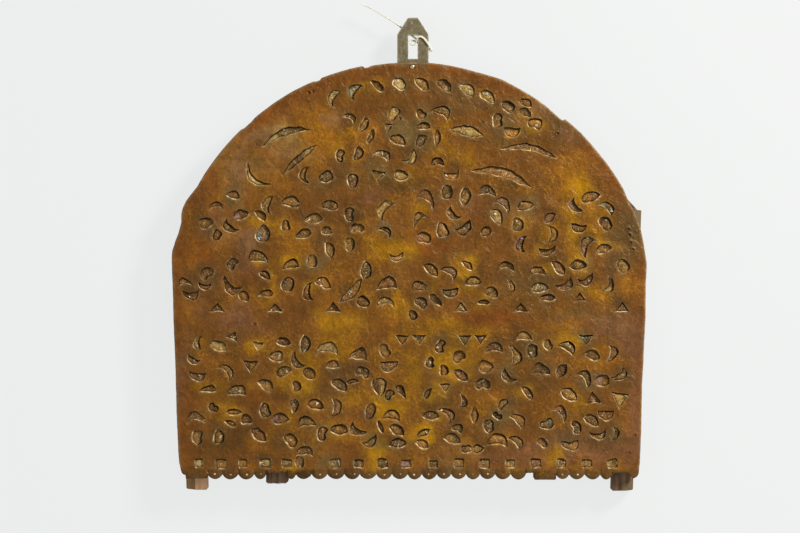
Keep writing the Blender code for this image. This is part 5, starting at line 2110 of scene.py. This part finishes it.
@dataclass(frozen=True)
class NylonTie:
    """The nylon tie: a loop round the plate's limb, its head and its stiff tail. Sizes in mm."""

    width: float = 2.35
    thickness: float = 1.05
    head: Triple = (3.5, 4.9, 4.1)
    head_place: Triple = (21.4, 2.4, -16.9)
    head_rings: Pairs = (
        (-1.0, 0.72), (-0.84, 0.96), (-0.6, 1.0), (0.6, 1.0), (0.84, 0.96), (1.0, 0.72), (0.8, 0.5))
    head_corners: Pairs = ((-1, -0.7), (-0.7, -1), (0.7, -1), (1, -0.7),
                           (1, 0.7), (0.7, 1), (-0.7, 1), (-1, 0.7))
    section: Pairs = ((1, 0.45), (0.84, 1), (-0.84, 1), (-1, 0.45),
                      (-1, -0.45), (-0.84, -1), (0.84, -1), (1, -0.45))
    tooth_pitch: float = 0.62
    loop: Stops = (
        (21.3, 1.0, -16.3, (0.8, -0.6, 0)), (20.8, -1.4, -13.9, (0.5, -1, 0)), (18, -2.5, -9.9, (0, -1, 0)),
        (14.2, -2.4, -4.9, (0, -1, 0)), (10.6, -2.4, -2, (0, -1, 0)), (7.4, -2.6, -1.6, (0, -1, 0)),
        (5, -2.3, -3.2, (0.7, -0.7, 0.2)), (4.2, -1, -7, (1, -0.1, 0)), (1.6, -0.2, -11.4, (0.3, 0, -1)),
        (-2, 0.6, -11.4, (-0.4, 0.1, -1)), (-4, 1.6, -8.4, (-1, 0.2, 0)), (-2.6, 2.9, -5.8, (-0.5, 1, 0)),
        (1.5, 2.8, -6.4, (0, 1, 0)), (9, 2.5, -10.6, (0, 1, 0)), (16, 2.5, -14.4, (0, 1, 0)),
        (20.4, 2.5, -16.9, (0, 1, 0)))
    tail: Stops = (
        (21.4, 4.3, -17.3, (0, 1, 0)), (14, 4.8, -11.4, (0, 1, 0)), (4, 4.8, -3.8, (0, 1, 0)),
        (-6, 4.8, 3.8, (0.2, 1, 0.3)), (-14.8, 4.6, 10.4, (0.5, 0.6, 0.6)), (-23, 4.4, 16.3, (0.5, 0, 0.86)),
        (-34, 4, 23, (0.5, 0, 0.86)), (-45.5, 3.4, 30, (0.5, 0, 0.86)), (-54.6, 2.8, 34.8, (0.5, 0, 0.86)),
        (-62.8, 2.2, 38, (0.5, 0, 0.86)))

    @staticmethod
    def route(stops: Stops, steps: int) -> Spine:
        """Draw a smooth line through the stops.

        Args:
            stops: Places with the way that the flat side faces there, in mm.
            steps: Steps from one stop to the next.

        Returns:
            Places, with the way across the band and the way out of its flat side.
        """
        knots = [Vector(stop[:3]) for stop in stops]
        ways = [Vector(stop[3]).normalized() for stop in stops]
        last = len(knots) - 1
        points, faces = [], []
        for i in range(last):
            before, after = knots[max(i - 1, 0)], knots[min(i + 2, last)]
            near, far = knots[i] + (knots[i + 1] - before) / 6, knots[i + 1] - (after - knots[i]) / 6
            points += interpolate_bezier(knots[i], near, far, knots[i + 1], steps + 1)[:-1]
            faces += [ways[i].lerp(ways[i + 1], k / steps) for k in range(steps)]
        points.append(knots[-1])
        faces.append(ways[-1])
        spine = []
        for i, (point, way) in enumerate(zip(points, faces)):
            ahead = points[min(i + 1, len(points) - 1)] - points[max(i - 1, 0)]
            across = ahead.cross(way).normalized()
            spine.append((point, across, across.cross(ahead).normalized()))
        return spine

    def put_band(self, shell: Shell, spine: Spine) -> None:
        """Add a closed band with eased edges.

        Args:
            shell: The tie's shell.
            spine: The band's places.
        """
        half, reach = self.width / 2, self.thickness / 2
        section = [(half * a, reach * b) for a, b in self.section]
        rows = [[shell.put(*((point + across * a + out * b) * MM)) for a, b in section]
                for point, across, out in spine]
        shell.bands(rows)
        shell.faces += [tuple(rows[0]), tuple(rows[-1])]

    def put_head(self, shell: Shell) -> None:
        """Add the bevelled head with its mouth drawn in.

        Args:
            shell: The tie's shell.
        """
        half_x, half_y, half_z = (size / 2 for size in self.head)
        centre = Vector(self.head_place)
        rows = []
        for share, size in self.head_rings:
            corners = [Vector((x * size * half_x, share * half_y, z * size * half_z))
                       for x, z in self.head_corners]
            rows.append([shell.put(*((centre + corner) * MM)) for corner in corners])
        shell.bands(rows)
        shell.fill(rows[0])
        shell.fill(rows[-1])

    def build(self) -> Piece:
        """Build the tie.

        Returns:
            The tie, its loop, head and tail in one piece.
        """
        shell = Shell()
        for stops in (self.loop, self.tail):
            self.put_band(shell, self.route(stops, 5))
        self.put_head(shell)
        return shell.build("nylon_tie", 50.0)

    def tooth_marks(self) -> "Scatter":
        """Mark where the tie's teeth stand, on the tail's back and the loop's inner side.

        Returns:
            The marks.
        """
        marks = Scatter("tie_teeth", Bit.TOOTH, seed=3)
        for stops in (self.loop[1:7], self.tail[1:]):
            spine = self.route(stops, 24)
            walked = 0.0
            for (point, across, out), (ahead, _, _) in zip(spine, spine[1:]):
                walked += (ahead - point).length
                if walked < self.tooth_pitch:
                    continue
                walked = 0.0
                turn = Matrix((across, out, (ahead - point).normalized())).transposed().to_euler()
                marks.mark(point - out * (self.thickness / 2 - 0.02), (self.width * 0.3, 0.1, 0.14), turn[:])
        return marks


# ---- small repeated bits


class Bit(Enum):
    """Shapes that are set many times over: variants, unevenness, node and its inputs."""

    STUD = (1, 0.05, "UVSphere", {"Segments": 10, "Rings": 6})
    CHIP = (6, 0.42, "IcoSphere", {"Subdivisions": 1})
    SPLINTER = (3, 0.1, "Cone", {"Vertices": 5, "Radius Top": 0.12, "Radius Bottom": 1.0, "Depth": 1.0})
    TOOTH = (1, 0.0, "Cube", {})

    def __init__(self, variants: int, rough: float, node: str, makings: dict[str, float]) -> None:
        """Keep how many variants there are, how uneven they are and what they are made from."""
        self.variants, self.rough, self.node, self.makings = variants, rough, node, makings


class ScatterTree(NodeBench):
    """A geometry tree that sets a bit's variants on the marks of a mesh."""

    INPUTS = (("Marks", "NodeSocketGeometry"), ("Unevenness", "NodeSocketFloat"), ("Size", "NodeSocketFloat"),
              ("Seed", "NodeSocketInt"), ("Material", "NodeSocketMaterial"))

    def __init__(self, bit: Bit) -> None:
        """Build the tree.

        Args:
            bit: The shape that it sets.
        """
        super().__init__(bpy.data.node_groups.new(f"set_{bit.name.lower()}s", "GeometryNodeTree"))
        self.bit = bit
        face = self.tree.interface
        self.keys = {name: face.new_socket(name=name, in_out="INPUT", socket_type=kind).identifier
                     for name, kind in self.INPUTS}
        face.new_socket(name="Bits", in_out="OUTPUT", socket_type="NodeSocketGeometry")
        self.given = self.add("NodeGroupInput").outputs
        gather = self.add("GeometryNodeJoinGeometry")
        for number in range(bit.variants):
            self.feed(gather.inputs["Geometry"], self.variant(number))
        scaled = self.add("ShaderNodeVectorMath", {0: self.stored("size"), "Scale": self.given["Size"]},
                          operation="SCALE")
        euler = self.add("FunctionNodeEulerToRotation", {0: self.stored("turn")})
        place = self.add("GeometryNodeInstanceOnPoints", {
            "Points": self.given["Marks"], "Instance": gather.outputs["Geometry"], "Pick Instance": True,
            "Scale": scaled.outputs["Vector"], "Rotation": euler.outputs[0]})
        real = self.add("GeometryNodeRealizeInstances", {"Geometry": place.outputs["Instances"]})
        dress = self.add("GeometryNodeSetMaterial", {
            "Geometry": real.outputs["Geometry"], "Material": self.given["Material"]})
        self.add("NodeGroupOutput", {"Bits": dress.outputs["Geometry"]})

    def stored(self, name: str) -> Socket:
        """Return what a named vector of the marks says."""
        node = self.add("GeometryNodeInputNamedAttribute", {"Name": name}, data_type="FLOAT_VECTOR")
        return node.outputs["Attribute"]

    def variant(self, number: int) -> Socket:
        """Add one variant, each corner moved by seeded chance.

        Args:
            number: The variant's number.

        Returns:
            The socket of the variant as an instance.
        """
        seed = self.add("ShaderNodeMath", {0: self.given["Seed"], 1: 17.0 * number}, operation="ADD")
        limits = {"Min": (-1.0,) * 3, "Max": (1.0,) * 3, "Seed": seed.outputs[0]}
        chance = self.add("FunctionNodeRandomValue", limits, data_type="FLOAT_VECTOR")
        steps = {0: chance.outputs["Value"], "Scale": self.given["Unevenness"]}
        reach = self.add("ShaderNodeVectorMath", steps, operation="SCALE")
        plain = self.add(f"GeometryNodeMesh{self.bit.node}", self.bit.makings)
        move = self.add("GeometryNodeSetPosition", {
            "Geometry": plain.outputs["Mesh"], "Offset": reach.outputs["Vector"]})
        pack = self.add("GeometryNodeGeometryToInstance", {"Geometry": move.outputs["Geometry"]})
        return pack.outputs["Instances"]


@dataclass
class Scatter:
    """Marks on which one kind of small bit is set, and the piece that comes of them."""

    name: str
    bit: Bit
    seed: int = 1
    size: float = 1.0
    marks: list[tuple[Vector, Sequence[float], Sequence[float], Colour]] = field(default_factory=list)

    def mark(self, place: Sequence[float], size: Sequence[float], turn: Sequence[float],
             tone: Colour = (1.0, 1.0, 1.0)) -> None:
        """Add a mark.

        Args:
            place: Where the bit's middle stands, in mm.
            size: Its radii, in mm.
            turn: How it is turned, as Euler angles.
            tone: Its shade.
        """
        self.marks.append((Vector(place) * MM, [value * MM for value in size], turn, tone))

    def build(self, material: Material) -> Piece:
        """Set the bits and make them one plain mesh.

        Args:
            material: Their finish.

        Returns:
            The piece.
        """
        mesh = bpy.data.meshes.new(f"{self.name}_marks")
        places, sizes, turns, tones = zip(*self.marks)
        mesh.from_pydata(places, [], [])
        for key, rows in (("size", sizes), ("turn", turns)):
            mesh.attributes.new(key, "FLOAT_VECTOR", "POINT").data.foreach_set("vector", np.ravel(rows))
        note_tones(mesh, np.array(tones))
        host = placed(mesh.name, mesh)
        tree = ScatterTree(self.bit)
        live = host.modifiers.new("set_bits", "NODES")
        live.node_group = tree.tree
        for name, value in (("Unevenness", self.bit.rough), ("Size", self.size), ("Seed", self.seed),
                            ("Material", material)):
            live[tree.keys[name]] = value
        bpy.context.view_layer.update()
        real = bpy.data.meshes.new_from_object(host.evaluated_get(bpy.context.evaluated_depsgraph_get()))
        host.modifiers.remove(live)
        bpy.data.objects.remove(host)
        real.name = self.name
        return finished(self.name, real, 28.0)


class Inlay:
    """What is left of the inlay: flakes in the beds and pale studs on the beads."""

    STUDS = (
        (-233.4, 0.9), (-214.5, 0.85), (-194.9, 1.0), (-178.1, 0.45), (-107.1, 0.8), (-87.2, 0.8),
        (-65.6, 0.75), (-48.3, 0.4), (-29.8, 0.95), (-10.5, 0.6), (5.7, 1.0), (23.2, 0.75), (41.6, 0.75),
        (60.8, 0.95), (76.3, 0.4), (94.1, 0.95), (112.1, 0.35), (132.8, 0.4), (183.8, 0.7), (202.1, 0.95),
        (215.1, 0.4))
    FRESH = (Tone.PALE, Tone.PALE, Tone.WHITE, Tone.TAN, Tone.OCHRE, Tone.FLOOR, Tone.SILVER, Tone.DEEP)
    FLAKE_TOP = -14.6
    FLAKES_MOST = 16
    STUD_DROP = 493.0
    OUT_FRONT = -50 * MM
    INWARD = Vector((0.0, 1.0, 0.0))

    def __init__(self, board: Board, face: Piece) -> None:
        """Keep the board and its finished surface.

        Args:
            board: The board.
            face: Its finished mesh.
        """
        self.board = board
        self.surface = BVHTree.FromPolygons([vert.co[:] for vert in face.data.vertices],
                                            [polygon.vertices[:] for polygon in face.data.polygons])

    def land_on(self, spot: Vector) -> tuple[Vector, Vector]:
        """Return the place on the surface in front of a spot, in mm, and the way it faces."""
        place, normal, _, _ = self.surface.ray_cast(Vector((spot.x, self.OUT_FRONT, spot.y)), self.INWARD)
        return place / MM, normal if normal.y < 0 else -normal

    def studs(self) -> Scatter:
        """Mark the studs.

        Returns:
            The marks, one at the middle of most beads.
        """
        chance = random.Random(515)
        marks = Scatter("bead_studs", Bit.STUD, seed=11)
        for right, bright in self.STUDS:
            drop = self.STUD_DROP + chance.uniform(-0.5, 0.5)
            place, normal = self.land_on(self.board.motif.at(right, drop))
            radius = 0.75 + 0.55 * bright
            tone = tuple(value * (0.25 + 0.75 * bright**2) for value in Tone.WHITE.value)
            marks.mark(place - normal * 0.1, (radius, radius * chance.uniform(0.85, 1.1), 0.6),
                       normal.to_track_quat("Z", "Y").to_euler()[:], tone)
        return marks

    def flakes(self) -> Scatter:
        """Mark the flakes of old inlay and bedding that are left in the beds.

        Returns:
            The marks.
        """
        chance = random.Random(626)
        marks = Scatter("inlay_flakes", Bit.CHIP, seed=23)
        for bed in self.board.beds:
            area = bed.length * bed.width / MM**2
            count = round(area / 60 * (0.1 + 1.2 * bed.chips) * chance.uniform(0.5, 1.5))
            for _ in range(min(count, self.FLAKES_MOST)):
                self.mark_flake(marks, bed, chance)
        return marks

    def mark_flake(self, marks: Scatter, bed: Bed, chance: random.Random) -> None:
        """Mark one flake in a bed.

        Args:
            marks: The marks so far.
            bed: The bed.
            chance: The seeded chance.
        """
        upper, lower = bed.sides(chance.uniform(0.12, 0.88))
        place, normal = self.land_on(upper.lerp(lower, chance.uniform(0.22, 0.86)))
        place.y = max(place.y, self.FLAKE_TOP)
        radius = chance.uniform(1.0, 2.8)
        tilt = Vector((chance.uniform(-0.5, 0.5), 0.0, chance.uniform(-0.5, 0.5)))
        facing = (normal + tilt).normalized().to_track_quat("Z", "Y")
        turn = (facing @ Quaternion((0, 0, 1), chance.uniform(0, math.tau))).to_euler()
        tone = bed.tint if bed.tint and chance.random() < 0.55 else chance.choice(self.FRESH)
        light = chance.uniform(0.75, 1.15)
        size = (radius, radius * chance.uniform(0.45, 0.8), chance.uniform(0.22, 0.4))
        marks.mark(place + normal * 0.1, size, turn[:], tuple(value * light for value in tone.value))


# ---- the studio


@dataclass
class Studio:
    """A pale floor, a pale wall, soft light and the camera."""

    lens: float = 90.0
    camera_place: Triple = (-0.0159, -2.4155, -0.2791)
    aim: Triple = (0.0, 0.0, -0.28)
    floor_z: float = -1.15
    wall_y: float = 0.0215
    pale: Colour = paint(233, 238, 240)
    wall_shade: Colour = (0.09, 0.088, 0.09)
    wall_glow: Colour = (0.98, 1.0, 0.99)

    def build(self) -> None:
        """Set the stage, the lights and the camera."""
        world = bpy.data.worlds.new("studio")
        world.use_nodes = True
        ground = world.node_tree.nodes["Background"]
        ground.inputs["Color"].default_value = (0.98, 0.98, 1.0, 1.0)
        ground.inputs["Strength"].default_value = 0.24
        bpy.context.scene.world = world
        self.set_stage()
        self.lamp("key", (1.62, -1.2, 1.15), 0.5, 83.0, (1.0, 0.97, 0.92))
        self.lamp("fill", (-1.6, -1.9, 0.1), 1.4, 7.0, (0.92, 0.96, 1.0))
        camera = bpy.data.cameras.new("camera")
        camera.lens = self.lens
        item = placed("camera", camera)
        item.location = self.camera_place
        item.rotation_euler = (math.pi / 2, 0.0, 0.0)
        bpy.context.scene.camera = item
        bpy.context.scene.view_settings.view_transform = "Standard"

    @staticmethod
    def sheet(name: str, corners: Sequence[Triple], material: Material) -> Piece:
        """Make a flat staged sheet.

        Args:
            name: Its name.
            corners: Its corners, anticlockwise as seen from the side that it faces.
            material: Its material.

        Returns:
            The sheet.
        """
        mesh = bpy.data.meshes.new(name)
        mesh.from_pydata(corners, [], [tuple(range(len(corners)))])
        mesh.materials.append(material)
        item = placed(name, mesh)
        return item

    def set_stage(self) -> None:
        """Lay the floor well below and stand the wall close behind; from behind the wall is clear."""
        z, y = self.floor_z, self.wall_y
        floor = ShaderBench("pale_floor").finish(self.pale, 0.9)
        self.sheet("floor", ((-3, -3, z), (3, -3, z), (3, 3, z), (-3, 3, z)), floor)
        bench = ShaderBench("pale_wall")
        pale = bench.finish(self.wall_shade, 0.95, gloss=0.0)
        bench.feed(bench.shader.inputs["Emission Color"], self.wall_glow)
        bench.feed(bench.shader.inputs["Emission Strength"], 0.77)
        mix = bench.add("ShaderNodeMixShader", {
            "Fac": bench.add("ShaderNodeNewGeometry").outputs["Backfacing"], 1: bench.shader.outputs["BSDF"],
            2: bench.add("ShaderNodeBsdfTransparent").outputs["BSDF"]})
        bench.feed(bench.tree.nodes["Material Output"].inputs["Surface"], mix.outputs["Shader"])
        wall = self.sheet("wall", ((-1.4, y, -1.1), (1.4, y, -1.1), (1.4, y, 0.9), (-1.4, y, 0.9)), pale)
        wall.visible_diffuse = wall.visible_glossy = wall.visible_transmission = wall.visible_shadow = False

    def lamp(self, name: str, place: Triple, size: float, power: float, tint: Colour) -> None:
        """Hang one square lamp that faces the board.

        Args:
            name: Its name.
            place: Where it hangs.
            size: Its side.
            power: Its power in watts.
            tint: Its colour.
        """
        light = bpy.data.lights.new(name, "AREA")
        light.energy, light.size, light.color = power, size, tint
        item = placed(name, light)
        item.location = place
        item.rotation_euler = (Vector(self.aim) - Vector(place)).to_track_quat("-Z", "Y").to_euler()


def raise_battens() -> None:
    """Build the four battens, with splinters where one is broken."""
    # the last colour of each finish is its chamfer's, painted as it looks under the light: a painted shade on
    # the pale batten, whose chamfer faces away from the light
    pale = TimberFinish("pale_sawn_wood", paint(228, 182, 140), paint(204, 154, 114), paint(132, 94, 60),
                        paint(140, 104, 62)).material()
    dark = TimberFinish("dark_sawn_wood", paint(134, 102, 72), paint(92, 68, 50), paint(56, 41, 30),
                        paint(104, 84, 58)).material()
    for batten in BATTENS:
        fresh = batten.node == "batten_outer_left"
        hand_over(batten.build(), "raw_wood" if fresh else "dark_wood", pale if fresh else dark, batten.node)
        if batten.broken:
            hand_over(batten.splinter_marks().build(dark), "dark_wood", dark)


def main() -> None:
    """Build every piece in order and report it."""
    logging.basicConfig(level=logging.INFO, format="%(name)s: %(message)s")
    Studio().build()
    board = Board()
    face = hand_over(board.cast(), "gilt_lacquer", LacquerFinish().material(), "board")
    inlay = Inlay(board, face)
    shine = FlakeFinish().material()
    for marks in (inlay.studs(), inlay.flakes()):
        hand_over(marks.build(shine), "gilt_lacquer", shine)
    raise_battens()
    steel = WornFinish("handled_steel", paint(132, 121, 92), paint(98, 90, 66), paint(196, 190, 160))
    hand_over(HangingPlate().build(), "dull_steel", steel.material(), "hanging_plate")
    brass = WornFinish("tarnished_brass", paint(92, 70, 40), paint(40, 28, 16), paint(226, 206, 168),
                       0.35, 0.8, 420.0)
    hand_over(RimNail().build(), "worn_brass", brass.material(), "rim_nail")
    nylon, tie = NylonFinish(), NylonTie()
    hand_over(tie.build(), "white_nylon", nylon.material(), "cable_tie")
    teeth = nylon.material()
    hand_over(tie.tooth_marks().build(teeth), "white_nylon", teeth)


if __name__ == "__main__":
    main()
